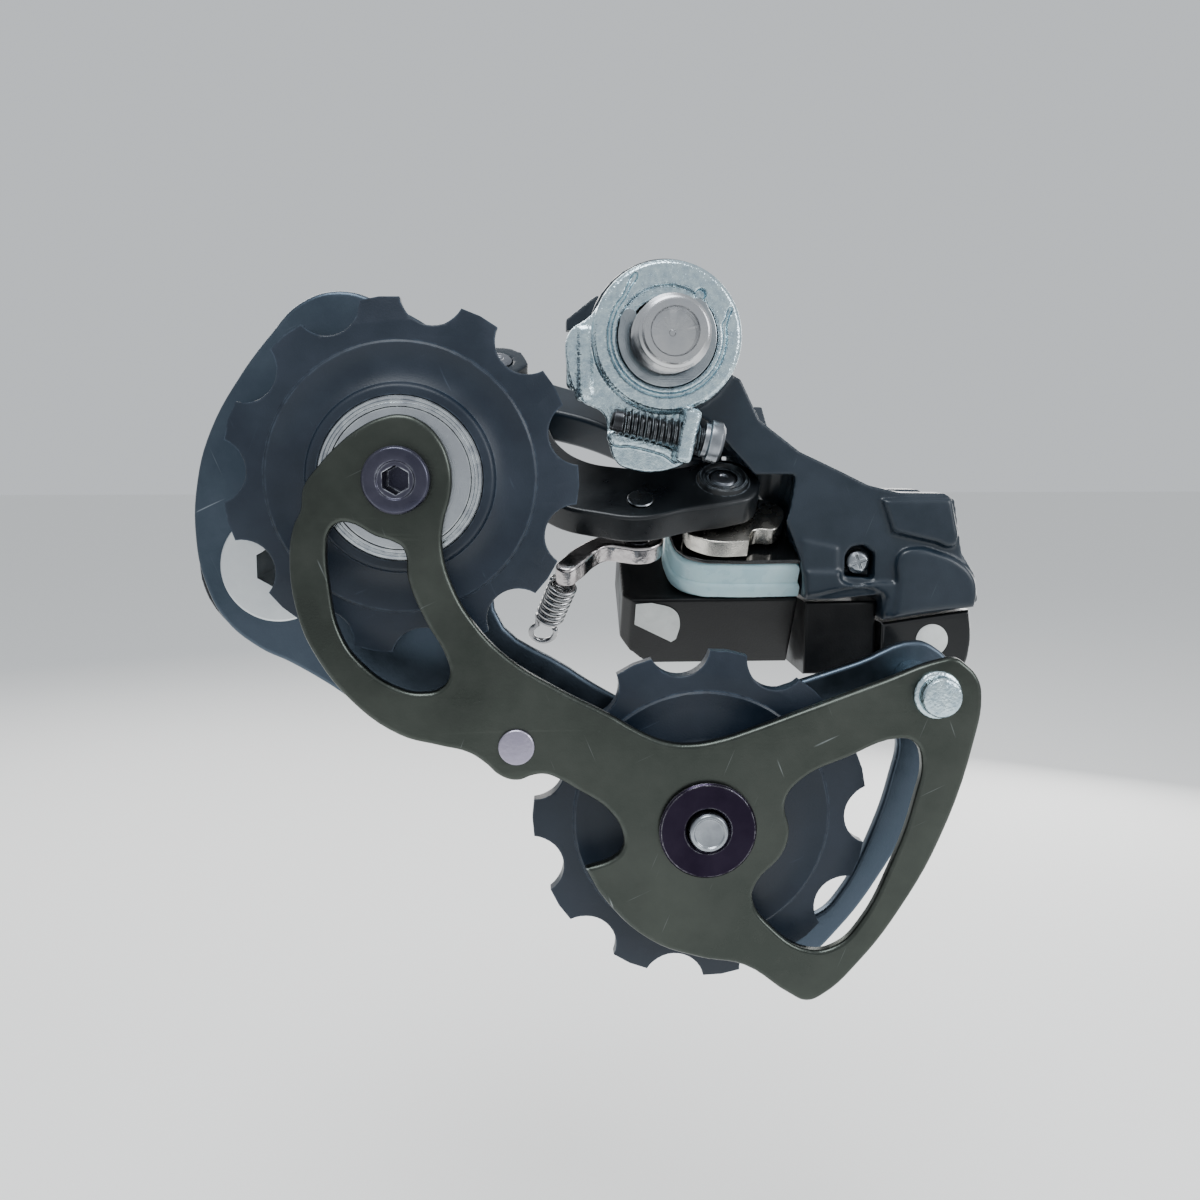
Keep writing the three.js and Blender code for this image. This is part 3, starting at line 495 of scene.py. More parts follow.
# ---- Tension screw
# The small steel screw that sets how far the derailleur stands off the hanger. Its thread is rolled and dark, and
# its plated head has a stepped collar and a hexagon socket.
screw_steel = coated("screw_steel", (0.40, 0.43, 0.46), (0.20, 0.21, 0.23), rough=(0.2, 0.36),
                     rub_and_glint_tone=(0.8, 0.83, 0.85), rub_and_glint_amount=0.9, width=0.00025)
along_screw = screw_frame @ Matrix.Rotation(math.radians(90), 4, "Y")
to_screw = screw_frame @ Matrix.Rotation(math.radians(-90), 4, "Z")
screw_head = turned("tension_screw_head", [(0, -4.6), (1.15, -4.6), (1.2, -4.75), (2.3, -4.75), (2.8, -4.3),
                                           (2.8, -2.9), (2.3, -2.7), (2.3, -2.15), (0, -2.1)])
settle(screw_head, to_screw)
bpy.ops.mesh.primitive_cylinder_add(vertices=6, radius=1.2 * mm, depth=3 * mm)
key_hole = bpy.context.object
settle(key_hole, along_screw @ Matrix.Translation((0, 0, -4.9 * mm)))
cut(screw_head, key_hole)
smoothed(screw_head, 0.04, "b_screw", screw_steel, "dark_steel", "b_adjust_screw")

TENSION_PITCH = 0.9
thread_black = coated("thread_black", (0.030, 0.031, 0.034), (0.055, 0.057, 0.062), rough=(0.2, 0.36),
                      rub_and_glint_tone=(0.74, 0.80, 0.84), rub_and_glint_amount=1.0, width=0.0002)
screw = turned("tension_screw_rolled", [(0, -2.05), (1.5, -2.05), (1.5, 9.9), (1.3, 10.25), (0, 10.25)])
settle(screw, to_screw)
join(screw, thread("tension_thread", 1.95, 1.4, TENSION_PITCH, 11.4,
                   along_screw @ Matrix.Translation((0, 0, -1.7 * mm))))
smoothed(screw, 0.04, "b_screw", thread_black, "dark_steel")

# ---- Hanger knuckle
# The forged and painted aluminium body that hangs on the bolt and carries the motor, both links' rear pins and the
# cable socket. Its skin flows over the cable boss and the cover's shoulder; a bush, a ring seal and a coil spring
# sit in its barrel.
def copy_of(node, name):
    """A welded copy of a frame node, to be given a finer skin."""
    piece = bpy.data.objects.new(name, nodes[node].data.copy())
    bpy.context.collection.objects.link(piece)
    piece.data.materials.clear()
    close_up(piece)
    return piece


def true_round(piece, radius, low, high, centre=(0, 0), within=0.14):
    """Brings a cast skin that lies close to a machined barrel's radius to the true round."""
    for vertex in piece.data.vertices:
        across, upward = vertex.co.x - centre[0] * mm, vertex.co.z - centre[1] * mm
        reach = math.hypot(across, upward)
        if abs(reach - radius * mm) < within * mm and low * mm < vertex.co.y < high * mm:
            vertex.co.x = centre[0] * mm + across / reach * radius * mm
            vertex.co.z = centre[1] * mm + upward / reach * radius * mm


def helix(name, radius, wire, low, high, turns, place, per_turn=28, tail=()):
    """A coil spring: a round wire on a helix, its ends capped; tail adds points to the far end."""
    bpy.ops.object.select_all(action="DESELECT")
    bpy.ops.curve.primitive_bezier_curve_add()
    piece = bpy.context.object
    piece.name = name
    curve = piece.data
    curve.dimensions = "3D"
    curve.splines.clear()
    count = int(turns * per_turn)
    spots = [(radius * math.cos(2 * math.pi * i / per_turn), radius * math.sin(2 * math.pi * i / per_turn),
              low + (high - low) * i / count) for i in range(count + 1)] + list(tail)
    spline = curve.splines.new("POLY")
    spline.points.add(len(spots) - 1)
    for point, spot in zip(spline.points, spots):
        point.co = (spot[0] * mm, spot[1] * mm, spot[2] * mm, 1)
    curve.bevel_depth = wire * mm
    curve.bevel_resolution = 3
    curve.use_fill_caps = True
    bpy.ops.object.convert(target="MESH")
    settle(piece, place)
    close_up(piece)
    bpy.ops.object.shade_smooth()
    return piece


satin_paint = coated("blue_black_paint", (0.007, 0.014, 0.023), (0.011, 0.020, 0.031), metallic=0.0,
                     rough=(0.30, 0.42), bump=0.12, grain=5200.0, rub_and_glint_tone=(0.26, 0.29, 0.32), rub_and_glint_amount=0.35,
                     width=0.0003, scratched=0.2, coat=0.12, specular=0.4)
HANGER_BARREL = 10.4
knuckle = copy_of("b_knuckle", "knuckle_forged")
for outline, low, high, edge in (
    ([(-30.6, -21.8, 0), (-40.4, -21.6, 0), (-41.6, -26.8, 0), (-41.0, -28.4), (-38.2, -27.8), (-35.2, -27.1),
      (-32.2, -26.4, 0)], -6, -3.1, 0.6),
    ([(-33.0, -33.2, 0), (-33.2, -29.5), (-35.4, -28.6), (-39.0, -29.3), (-41.8, -30.5), (-43.7, -32.2),
      (-44.5, -34.2), (-44.3, -37.1, 0), (-36.8, -37.8), (-32.4, -38.6, 0)], -6, -3.0, 0.7),
    ([(-20.0, -31.6, 0), (-25.0, -31.8, 0), (-25.4, -33.2), (-31.0, -33.4), (-33.2, -33.4, 0), (-33.0, -38.3, 0),
      (-31.6, -38.5), (-31.2, -35.2), (-20.2, -35.4, 0)], -5.4, -3.3, 0.6),
    ([(-24.8, -28.4, 0), (-19.2, -27.2, 0), (-19.6, -31.9, 0), (-24.8, -31.9, 0)], -5.4, -3.75, 0.5),
):
    join(knuckle, stamped("swelling", outline, low, high, edge))
cut(knuckle, stamped("stop_corner", [(14.6, 1.6, 0), (14.6, 9, 0), (7.2, 9, 0), (8.2, 6.6, 0), (13.7, 2.3, 0)],
                     -10, -2.6, 0.05))
cast(knuckle, 0.24, 5, 0.55)
true_round(knuckle, HANGER_BARREL, -21.8, -2.8)
finished(knuckle, "b_knuckle", satin_paint, "gloss_black", "b_knuckle")

bronze = coated("sintered_bronze", (0.46, 0.30, 0.13), (0.36, 0.22, 0.09), rough=(0.35, 0.5), bump=0.4,
                grain=3000.0)
sleeve = turned("hanger_bush_sintered", [(5.25, -19.1), (6.0, -19.1), (6.0, -3.2), (5.25, -3.2)])
smoothed(sleeve, 0.12, "b_knuckle", bronze, "bronze", "b_bush")

seal_rubber = coated("seal_rubber", (0.012, 0.012, 0.013), (0.02, 0.02, 0.021), metallic=0.0, rough=(0.6, 0.8),
                     bump=0.3, grain=4000.0)
seal = turned("hanger_seal_moulded", [(8.7, -2.45), (10.1, -2.45), (10.1, -2.2), (9.8, -2.06), (9.0, -2.06),
                                      (8.7, -2.2)])
smoothed(seal, 0.05, "b_knuckle", seal_rubber, "rubber", "b_seal_ring")

spring_wire = coated("spring_wire", (0.42, 0.42, 0.42), (0.25, 0.25, 0.26), rough=(0.18, 0.32), bump=0.15,
                     rub_and_glint_tone=(0.75, 0.75, 0.75), rub_and_glint_amount=0.3)
to_hanger_axis = Matrix.Rotation(math.radians(-90), 4, "X")
stop_spring = helix("hanger_spring_coiled", 7.1, 0.62, -14.6, -3.6, 5.5, to_hanger_axis)
finished(stop_spring, "b_knuckle", spring_wire, "steel", "b_spring")

# ---- Rear cover, end cover, socket and sticker
# Two moulded covers in gloss black close the motor case behind the knuckle, held by a small cross-slotted screw in
# a recess. A rubber gland fills the cable socket, and a plain round sticker sits on the rear cover.
gloss_cover = coated("gloss_moulding", (0.003, 0.0035, 0.004), (0.006, 0.0065, 0.007), metallic=0.0,
                     rough=(0.12, 0.24), bump=0.05, rub_and_glint_tone=(0.25, 0.26, 0.27), rub_and_glint_amount=0.5, width=0.00025,
                     scratched=0.15, coat=0.35, specular=0.4)
case_black = coated("case_moulding", (0.0028, 0.003, 0.0034), (0.006, 0.006, 0.0065), metallic=0.0,
                    rough=(0.28, 0.44), bump=0.2, grain=3600.0, rub_and_glint_tone=(0.07, 0.07, 0.07), rub_and_glint_amount=0.4, specular=0.3)
rear_cover = stamped("rear_cover_moulded", [
    (-44.1, -37.6, 0), (-44.4, -43.0), (-43.2, -46.2), (-36, -47.4), (-31.4, -46.7, 0), (-31.4, -39.4, 0)],
    -19.5, -4.6, 0.55, steps=10)
smoothed(rear_cover, 0, "b_knuckle", gloss_cover, "gloss_black", "rear_cover")
end_cover = stamped("case_end_cover_moulded", [
    (-31.0, -36.4, 0), (-31.0, -47.0, 0), (-20.7, -47.0, 0), (-20.7, -36.5, 0)], -19, -6.2, 0.5)
smoothed(end_cover, 0, "b_knuckle", case_black, "casing", "case_end_cover")

COVER_SCREW = (-27.85, -30.7)
small_screw = turned("cover_screw_headed", [
    (0, -6.95), (1.72, -6.95), (1.75, -5.5), (1.6, -4.95), (1.1, -4.65), (0, -4.6)], COVER_SCREW)
for turn_by in (0, 90):
    slot_place = Matrix.Translation(Vector((COVER_SCREW[0], -4.6, COVER_SCREW[1])) * mm)
    cut(small_screw, block(2.3, 1.2, 0.42, slot_place @ Matrix.Rotation(math.radians(turn_by + 20), 4, "Y")))
smoothed(small_screw, 0.05, "b_knuckle", screw_steel, "zinc_plate", "cover_screw")

CABLE_AXIS = (-37.5, -22.6)
gland = block(5.1, 6.2, 2.3, Matrix.Translation(Vector((CABLE_AXIS[0], -12, CABLE_AXIS[1])) * mm))
gland.name = "cable_gland_moulded"
drill(gland, 1.1, -13.1, -10.9, CABLE_AXIS)
smooth_faces(gland, 0.4, 3)
finished(gland, "b_knuckle", seal_rubber, "rubber", "cable_socket")

paper_white = coated("sticker_film", (0.70, 0.72, 0.70), (0.60, 0.62, 0.60), metallic=0.0, rough=(0.4, 0.55),
                     bump=0.1, smudge=420.0)
dot = turned("round_sticker_cut", [(0, -4.58), (2.3, -4.58), (2.3, -4.42), (2.2, -4.38), (0, -4.36)],
             (-38.7, -41.9))
smoothed(dot, 0, "b_knuckle", paper_white, "badge", "cover_badge")

# ---- Limit screws
# Two small black steel grub screws in the back of the arm set how far the links may swing each way.
LIMIT_PITCH = 0.8
for node, height in (("high_limit_screw", -25.0), ("low_limit_screw", -31.0)):
    axis = (-26, height)
    grub = turned(node + "_turned", [
        (0, -21.6), (1.45, -21.6), (1.7, -21.35), (1.7, -14.4), (1.2, -13.6), (0, -13.6)], axis, steps=48)
    hexagon_socket(grub, 1.6, -23, -20, axis)
    for ring_at in range(8):
        back = ring_at * LIMIT_PITCH
        cut(grub, turned("groove", [(1.5, -20.9 + back), (2.2, -21.15 + back), (2.2, -20.65 + back)], axis, steps=48))
    smoothed(grub, 0, node.replace("_screw", ""), screw_steel, "dark_steel", node)

# ---- Motor unit
# A sealed black moulded case under the links, closed by a milky silicone gasket in two layers and a black plate.
# Inside are a can motor, a worm, a reduction wheel, a small circuit board and a position sensor.
silicone = coated("milky_silicone", (0.46, 0.68, 0.74), (0.56, 0.78, 0.82), metallic=0.0, rough=(0.22, 0.36),
                  bump=0.08, grain=1800.0, smudge=240.0)
gel = silicone.node_tree.nodes["Principled BSDF"].inputs
gel["Subsurface Weight"].default_value = 0.35
gel["Subsurface Radius"].default_value = (0.6, 0.9, 1.0)
gel["Subsurface Scale"].default_value = 0.002


def unit_outline(shrunk):
    """The motor unit seen down the pins: square at the back, round at the nose."""
    nose = [(6.0 - shrunk * 0.8, -6.0 + shrunk * 0.8), (7.3 - shrunk, -2.4), (7.4 - shrunk, 2.0),
            (6.2 - shrunk * 0.8, 5.6 - shrunk * 0.6), (3.2, 7.4 - shrunk)]
    return [(-11.4 + shrunk, -7 + shrunk, 0), (2.6, -7 + shrunk), *nose, (0, 7.75 - shrunk),
            (-11.4 + shrunk, 7.75 - shrunk, 0)]


motor_case = copy_of("motor_case", "motor_case_moulded")
join(motor_case, stamped("case_deck", [(-11.4, -6.9), (12.3, -6.9), (13.7, -5.3), (13.7, 6.3), (12.3, 7.7),
                                       (-11.4, 7.7)], -16.2, -15.45, 0.1, [unit_outline(1.8)], True, 8, False))
cast(motor_case, 0.22, 4)
finished(motor_case, "b_knuckle", case_black, "casing", "motor_case")

gasket = stamped("gasket_lower_lip", unit_outline(0), -15.3, -12.6, 0.7, [unit_outline(1.8)], True, 8)
join(gasket, stamped("gasket_upper_lip", unit_outline(0.35), -13.4, -9.35, 0.9, [unit_outline(1.8)], True, 8))
smoothed(gasket, 0, "b_knuckle", silicone, "gasket", "motor_gasket")
top_plate = stamped("motor_top_plate_stamped", unit_outline(0.5), -9.25, -8.6, 0.15, [round_hole(0, 0, 2.15)],
                    True, 8)
smoothed(top_plate, 0, "b_knuckle", gloss_cover, "casing", "motor_top_plate")

# a plain off-white label, flat on the side of the case towards its nose
label = stamped("plain_case_label", [
    (11.9, -16.0, 0), (9.6, -15.8, 0), (6.3, -17.2), (5.3, -19.6), (5.6, -22.9, 0), (6.3, -23.5, 0),
    (11.9, -19.9, 0)], 7.88, 8.03, 0.05, steps=8)
settle(label, link_frame)
smoothed(label, 0, "b_knuckle", paper_white, "badge")

board_green = coated("board_lacquer", (0.012, 0.10, 0.04), (0.02, 0.13, 0.055), metallic=0.0, rough=(0.25, 0.4))
machined_steel = coated("machined_steel", (0.52, 0.52, 0.52), (0.40, 0.40, 0.41), rough=(0.2, 0.34), bump=0.1)
for node, finish in (("motor_can", machined_steel), ("motor_worm", bronze), ("circuit_board", board_green),
                     ("position_sensor", case_black), ("reduction_gear", bronze)):
    repaint(node, finish)

# ---- Output cam
# The case hardened steel arm on the motor unit's output shaft. It is milled from bar, nickel plated, and pushes the
# overload lever. Its gear runs inside the case.
nickel = coated("nickel_plated_steel", (0.66, 0.63, 0.57), (0.46, 0.44, 0.40), rough=(0.16, 0.32), bump=0.18,
                smudge=420.0, rub_and_glint_tone=(0.9, 0.88, 0.84), rub_and_glint_amount=0.8, width=0.0002)
cam = stamped("output_cam_milled", [
    (5.2, 5.0), (3.2, 6.8), (0.8, 7.5), (-3.2, 7.4, 0), (-4.3, 4.9), (-7.2, 4.7), (-8.8, 2.6), (-9.1, 0),
    (-8.3, -1.1), (-7.1, -1.9), (-5.6, -2.5), (-3, -3.1), (0, -3.4), (2.9, -2.3), (4.7, 0.6)],
    -7.7, -5.0, 0.18, (), True, 8)
join(cam, turned("output_shaft", [(0, -14.4), (1.85, -14.4), (1.85, -7.5), (0, -7.5)], (0, 0), True))
GEAR_TEETH = 19
wheel = []
for tooth in range(GEAR_TEETH):
    for radius, share in ((4.4, 0), (4.4, 0.4), (3.9, 0.5), (3.9, 0.9)):
        at = math.radians((tooth + share) * 360 / GEAR_TEETH)
        wheel.append((radius * math.cos(at), radius * math.sin(at)))
join(cam, stamped("output_gear", wheel, -13.6, -11.8, 0.08, (), True, 1, False))
smoothed(cam, 0, "output", nickel, "steel", "output_cam")

# ---- Inner link, its pin, and the overload lever
# The forged black link that the motor moves. A polished lever is riveted under it and a coil spring holds the lever
# against the cam, so that a knock turns the lever and not the gears.
link_black = coated("link_black_coat", (0.0035, 0.0045, 0.006), (0.008, 0.010, 0.012), metallic=0.1,
                    rough=(0.26, 0.38), bump=0.15, grain=4800.0, rub_and_glint_tone=(0.26, 0.30, 0.34), rub_and_glint_amount=0.6, width=0.0003,
                    scratched=0.2, coat=0.08, specular=0.4)
LINK_LENGTH = 34
REST_ANGLE = -30
TIP = (LINK_LENGTH * math.cos(math.radians(REST_ANGLE)), LINK_LENGTH * math.sin(math.radians(REST_ANGLE)))
RIVET = (11.9, 4.4)
OUTER_REAR = (2, -13)
OUTER_FRONT = (TIP[0] + 2, TIP[1] - 13)
inner_link = stamped("inner_link_forged", [
    *arc(5.25, 262, 172, 6), (-3.6, 3.9), (-1.2, 5.0), (5.2, 6.5), (12.2, 8.4), (17.5, 7.5), (23.4, 5.2), (27.2, 0.4),
    (30.4, -6), *arc(4.8, 36, -126, 7, TIP), (TIP[0] - 4.2, TIP[1] - 1.6), (TIP[0] - 5.2, TIP[1] + 2.6), (22.6, -9),
    (19.4, -5.2), (15, -3.6), (5.4, -3.4), (2.8, -4.5)],
    -4.4, 0, 0.55, [round_hole(0, 0, 2.05), round_hole(*RIVET, 1.55), round_hole(*TIP, 2.35)], True, 8)
join(inner_link, turned("inner_boss", [
    (2.05, -0.8), (3.9, -0.8), (3.7, 0.1), (3.45, 0.65), (3.2, 0.75), (2.9, 0.55), (2.7, 0.3), (2.45, 0.3),
    (2.3, 0.5), (2.05, 0.5)], (0, 0), True))
smoothed(inner_link, 0, "inner_link", link_black, "link_black", "inner_link")

pin_steel = coated("pin_steel", (0.26, 0.27, 0.30), (0.16, 0.17, 0.19), rough=(0.2, 0.36), bump=0.1,
                   rub_and_glint_tone=(0.7, 0.72, 0.75), rub_and_glint_amount=0.5)
for node, body, low, top, centre in (
    ("inner_pin_rear", "inner_link", -4.4, 0.6, (0, 0)), ("inner_pin_front", "cage_knuckle", -11.6, 0.8, TIP),
    ("outer_pin_rear", "b_knuckle", -12.2, 1.7, OUTER_REAR),
    ("outer_pin_front", "cage_knuckle", -12.2, 1.7, OUTER_FRONT),
):
    pin = turned(node + "_ground", [(0, low), (1.75, low), (2.0, low + 0.25), (2.0, top - 0.45), (1.55, top - 0.05),
                                    (0.7, top), (0.55, top - 0.2), (0, top - 0.25)], centre, True, 64)
    smoothed(pin, 0.05, body, pin_steel, "dark_steel" if node.startswith("inner") else "steel", node)

rivet_steel = coated("rivet_steel", (0.24, 0.26, 0.28), (0.16, 0.17, 0.19), rough=(0.2, 0.34), bump=0.2,
                     grain=2600.0, rub_and_glint_tone=(0.85, 0.87, 0.9), rub_and_glint_amount=0.6)
rivet = turned("lever_rivet_headed", [(0, -10.2), (1.5, -10.2), (1.5, 0.05), (1.75, 0.08), (1.8, 0.2), (1.7, 0.33),
                                      (0, 0.34)], RIVET, True, 64)
smoothed(rivet, 0, "inner_link", rivet_steel, "zinc_plate", "lever_rivet")

polished = coated("polished_steel", (0.56, 0.53, 0.52), (0.36, 0.33, 0.33), rough=(0.10, 0.26), bump=0.3,
                  grain=1600.0, smudge=520.0, rub_and_glint_tone=(0.9, 0.88, 0.86), rub_and_glint_amount=0.6)
lever = stamped("overload_lever_pressed", [
    (8.3, 4.8), (9.3, 2.4), (11.9, 1.5), (14.0, 2.4), (15.6, 4.2), (17.4, 4.6), (19.8, 6.2), (22.4, 9.0),
    (23.5, 11.2), (22.0, 12.1), (20.0, 10.5), (18.0, 8.0), (16.2, 6.8), (14.4, 7.1), (11.9, 7.6), (9.4, 6.9)],
    -9.15, -6.05, 0.5, [round_hole(*RIVET, 1.85)], True, 8)
smoothed(lever, 0, "overload_lever", polished, "steel", "overload_lever")

spring_lean = link_frame @ Matrix.Translation(Vector((22.4, 10.6, -9.6)) * mm) @ \
    Matrix.Rotation(math.radians(-17), 4, "Y") @ Matrix.Rotation(math.radians(180), 4, "X")
loop_end = [(1.75 * math.sin(a) - 0.1, 0.2, 8.0 + 1.75 * (1 - math.cos(a))) for a in
            [2 * math.pi * i / 24 for i in range(3, 22)]]
lever_spring = helix("overload_spring_coiled", 1.65, 0.41, 0, 6.6, 7, spring_lean, 24, loop_end)
finished(lever_spring, "inner_link", spring_wire, "steel", "overload_spring")

# ---- Outer link
# The outboard link, forged and painted like the knuckles, with a shallow waist and an eye at each end.
def on_outer_link(along, across):
    c, s = math.cos(math.radians(REST_ANGLE)), math.sin(math.radians(REST_ANGLE))
    return (OUTER_REAR[0] + along * c - across * s, OUTER_REAR[1] + along * s + across * c)


outer_outline = [on_outer_link(4 * math.cos(math.radians(a)), 4 * math.sin(math.radians(a)))
                 for a in range(90, 271, 30)]
outer_outline += [on_outer_link(8, -3.9), on_outer_link(17, -4.3), on_outer_link(26, -3.9)]
outer_outline += [on_outer_link(LINK_LENGTH + 4 * math.cos(math.radians(a)), 4 * math.sin(math.radians(a)))
                  for a in range(-90, 91, 30)]
outer_outline += [on_outer_link(26, 3.8), on_outer_link(17, 2.9), on_outer_link(8, 3.8)]
outer_link = stamped("outer_link_forged", outer_outline, -8.2, -2.5, 0.8, [
    round_hole(*OUTER_REAR, 2.35), round_hole(*OUTER_FRONT, 2.7)], True, 8)
smoothed(outer_link, 0, "outer_link", satin_paint, "gloss_black", "outer_link")

# ---- Cage knuckle, cap and pivot axle
# The forged and painted body at the links' front ends. Its barrel holds the cage spring and a bronze bush; a round
# cap closes it outboard, and the satin silver axle with a 5 mm hexagon socket carries the cage.
P_AXIS = (50.2, -29.3)
CAGE_BARREL = 10.5
cage_knuckle = copy_of("cage_knuckle", "cage_knuckle_forged")
cast(cage_knuckle, 0.27, 6, 0.7)
true_round(cage_knuckle, CAGE_BARREL, -15.8, 5.2, P_AXIS)
finished(cage_knuckle, "cage_knuckle", satin_paint, "gloss_black", "cage_knuckle")
pivot_bush = turned("cage_bush_sintered", [(4.95, -16), (5.8, -16), (5.8, -12.4), (4.95, -12.4)], P_AXIS)
smoothed(pivot_bush, 0.1, "cage_knuckle", bronze, "bronze", "cage_pivot_bush")
to_cage_axis = Matrix.Translation(Vector((P_AXIS[0], 0, P_AXIS[1])) * mm) @ to_hanger_axis
cage_spring = helix("cage_spring_coiled", 7.0, 0.7, -11.4, 4.4, 6.5, to_cage_axis)
finished(cage_spring, "cage_knuckle", spring_wire, "steel", "cage_spring")
cage_seal = turned("cage_seal_moulded", [(8.8, 5.46), (10.2, 5.46), (10.2, 5.58), (9.9, 5.67), (9.1, 5.67),
                                         (8.8, 5.58)], P_AXIS)
smoothed(cage_seal, 0, "cage_knuckle", seal_rubber, "rubber", "cage_seal_ring")
cap = turned("knuckle_cap_turned", [
    (0, -17.7), (6.6, -17.7), (6.9, -18), (8.5, -18), (9.3, -17.7), (9.6, -17.0), (9.6, -16.3), (9.35, -16.06),
    (0, -16.06)], P_AXIS)
hexagon_socket(cap, 5, -20, -17, P_AXIS)
smoothed(cap, 0.08, "cage_knuckle", gloss_cover, "gloss_black", "cage_knuckle_cap")

satin_silver = coated("satin_silver", (0.74, 0.77, 0.78), (0.64, 0.67, 0.69), rough=(0.34, 0.44), bump=0.12,
                      lines=P_AXIS, line_bump=0.15)
axle = turned("cage_axle_turned", [
    (0, 8.7), (6.75, 8.7), (7.0, 8.6), (7.1, 8.35), (7.1, 7.9), (7.0, 7.85), (4.6, 7.85), (4.6, -15.3), (4.3, -15.6),
    (0, -15.6)], P_AXIS)
hexagon_socket(axle, 5, -6, 12, P_AXIS)
smoothed(axle, 0.04, "cage", satin_silver, "zinc_plate", "cage_axle")

# ---- Cage plates
# Two blanked steel plates, black oxide with an olive cast inboard and blue-grey and brushed outboard. The press
# rolls their edges over, and each has windows. The scuffs are from chain and handling.
GUIDE = (34.0, -18.1)
TENSION = (-3.3, -61.5)
tension_end = [(-2.6, -78.4), (-8.3, -79.6), (-14.2, -83.6), (-16.4, -84.6), (-18.4, -83.9), (-23.1, -79.5),
               (-28.1, -72.7), (-32.9, -63.6), (-36.9, -50.7), (-37.6, -45.2), (-37.0, -42.8), (-35.2, -40.9)]
tension_window = [(-27.4, -50.4), (-29.2, -50.9), (-30.2, -52.7), (-29.5, -58.3), (-26.6, -67.2), (-23.0, -74.4),
                  (-20.2, -77.2), (-16.8, -77.8), (-11.6, -74.5), (-9.2, -70.8), (-9.7, -68.7), (-12.9, -65.0),
                  (-13.7, -62.2), (-13.1, -58.2), (-14.9, -55.6), (-20.8, -52.7)]
stop_pin_at = (P_AXIS[0] + 12.6 * math.cos(math.radians(120)), P_AXIS[1] + 12.6 * math.sin(math.radians(120)))
plate_bores = [round_hole(*GUIDE, 2.5), round_hole(*TENSION, 2.5), round_hole(20.3, -50.6, 1.55),
               round_hole(-31.8, -44.8, 1.55)]
# the grey edge tone along the rims is partly rubbed oxide and partly a painted highlight
olive_oxide = coated("olive_black_oxide", (0.050, 0.057, 0.050), (0.072, 0.080, 0.070), rough=(0.26, 0.42),
                     bump=0.12, grain=3800.0, smudge=70.0, rub_and_glint_tone=(0.42, 0.46, 0.46), rub_and_glint_amount=1.0, width=0.0004,
                     scratched=0.65)
inner_plate = stamped("inner_cage_plate_blanked", [
    (45.4, -21.7), (45.0, -19.0), (43.1, -16.4), (40.8, -14.0), (38.2, -12.0), (35.9, -10.9), (33.4, -10.5),
    (31.0, -11.3), (29.0, -13.3), (27.9, -15.8), (27.6, -18.2), (27.9, -20.5), (28.6, -22.9), (28.9, -26),
    (27.8, -30.7), (25.1, -35.5), (21.0, -39.8), (15, -43.6), (8.9, -46.8), (4.8, -49.2), (1.8, -50.4),
    (-1.2, -50.7), (-5, -50.1), (-8.5, -49.0), (-14.6, -46.8), (-24.6, -43.2), (-32.6, -40.4), (-34.2, -40.3),
    *tension_end[::-1], (3.8, -75.9), (9.5, -70.4), (11.9, -66.3, 0), (8.4, -65.1), (7.2, -63.8), (7.2, -62.0),
    (8.9, -59.0), (13.0, -56.1), (15.2, -54.8), (16.8, -54.2), (18.3, -54.3), (20.2, -54.9), (22.3, -54.3),
    (24.2, -52.6), (26.2, -51.3), (29.6, -50.4), (34.4, -49.0), (40.2, -44.6), (44.5, -38.6), (46.2, -34.1),
    (46.9, -27.6), (46.3, -23.6)],
    16.3, 18.1, 0.55, [*plate_bores, tension_window, [
        (42.5, -26.0), (42.2, -24.4), (41.2, -23.3), (39.8, -23.2), (36.7, -24.8), (34.6, -25.5), (33.5, -26.3),
        (33.0, -30.0), (31.1, -34.9), (28.6, -39.6), (28.3, -41.8), (29.4, -43.3), (31.2, -43.8), (34.2, -43.3),
        (38.7, -40.2), (41.1, -36.6), (42.3, -30.4)]], steps=5)
smoothed(inner_plate, 0, "cage", olive_oxide, "inner_plate", "cage_inner_plate")

blue_oxide = coated("blue_grey_oxide", (0.058, 0.078, 0.102), (0.078, 0.100, 0.128), rough=(0.28, 0.44), bump=0.15,
                    grain=3400.0, smudge=90.0, rub_and_glint_tone=(0.42, 0.47, 0.52), rub_and_glint_amount=0.7, width=0.0004, scratched=0.5,
                    lines=(-260, 150), line_bump=0.22)
outer_plate = stamped("outer_cage_plate_blanked", [
    (36.7, 3.4), (41.6, 4.7), (46.5, 3.2), (50.3, -0.7), (54.1, -5.6), (58, -12.3), (59.9, -18.5), (60.4, -26),
    (59.4, -31.7), (57.2, -36.2), (53, -39.9), (49.2, -41.8), (44, -45), (38, -49.3), (31, -51.5), (24.6, -52.6),
    (22.7, -54), (20.4, -54.7), (18.1, -54), (15, -55.4), (12, -58), (9.6, -61.6), (9.2, -66), (6, -72), (2, -76),
    *tension_end, (-32.6, -39.9), (-24.6, -42.6), (-14.6, -45.8), (-8.5, -47.7), (-1, -49.0), (4.4, -48.2),
    (8.1, -46.4), (13.4, -43), (23, -35.2), (21.4, -30), (20, -24), (19.8, -15), (23.4, -6), (30.5, 0.3)],
    6.0, 7.8, 0.55, [*plate_bores, tension_window, round_hole(*P_AXIS, 4.65), round_hole(*stop_pin_at, 1.25)],
    steps=5)
smoothed(outer_plate, 0, "cage", blue_oxide, "outer_plate", "cage_outer_plate")

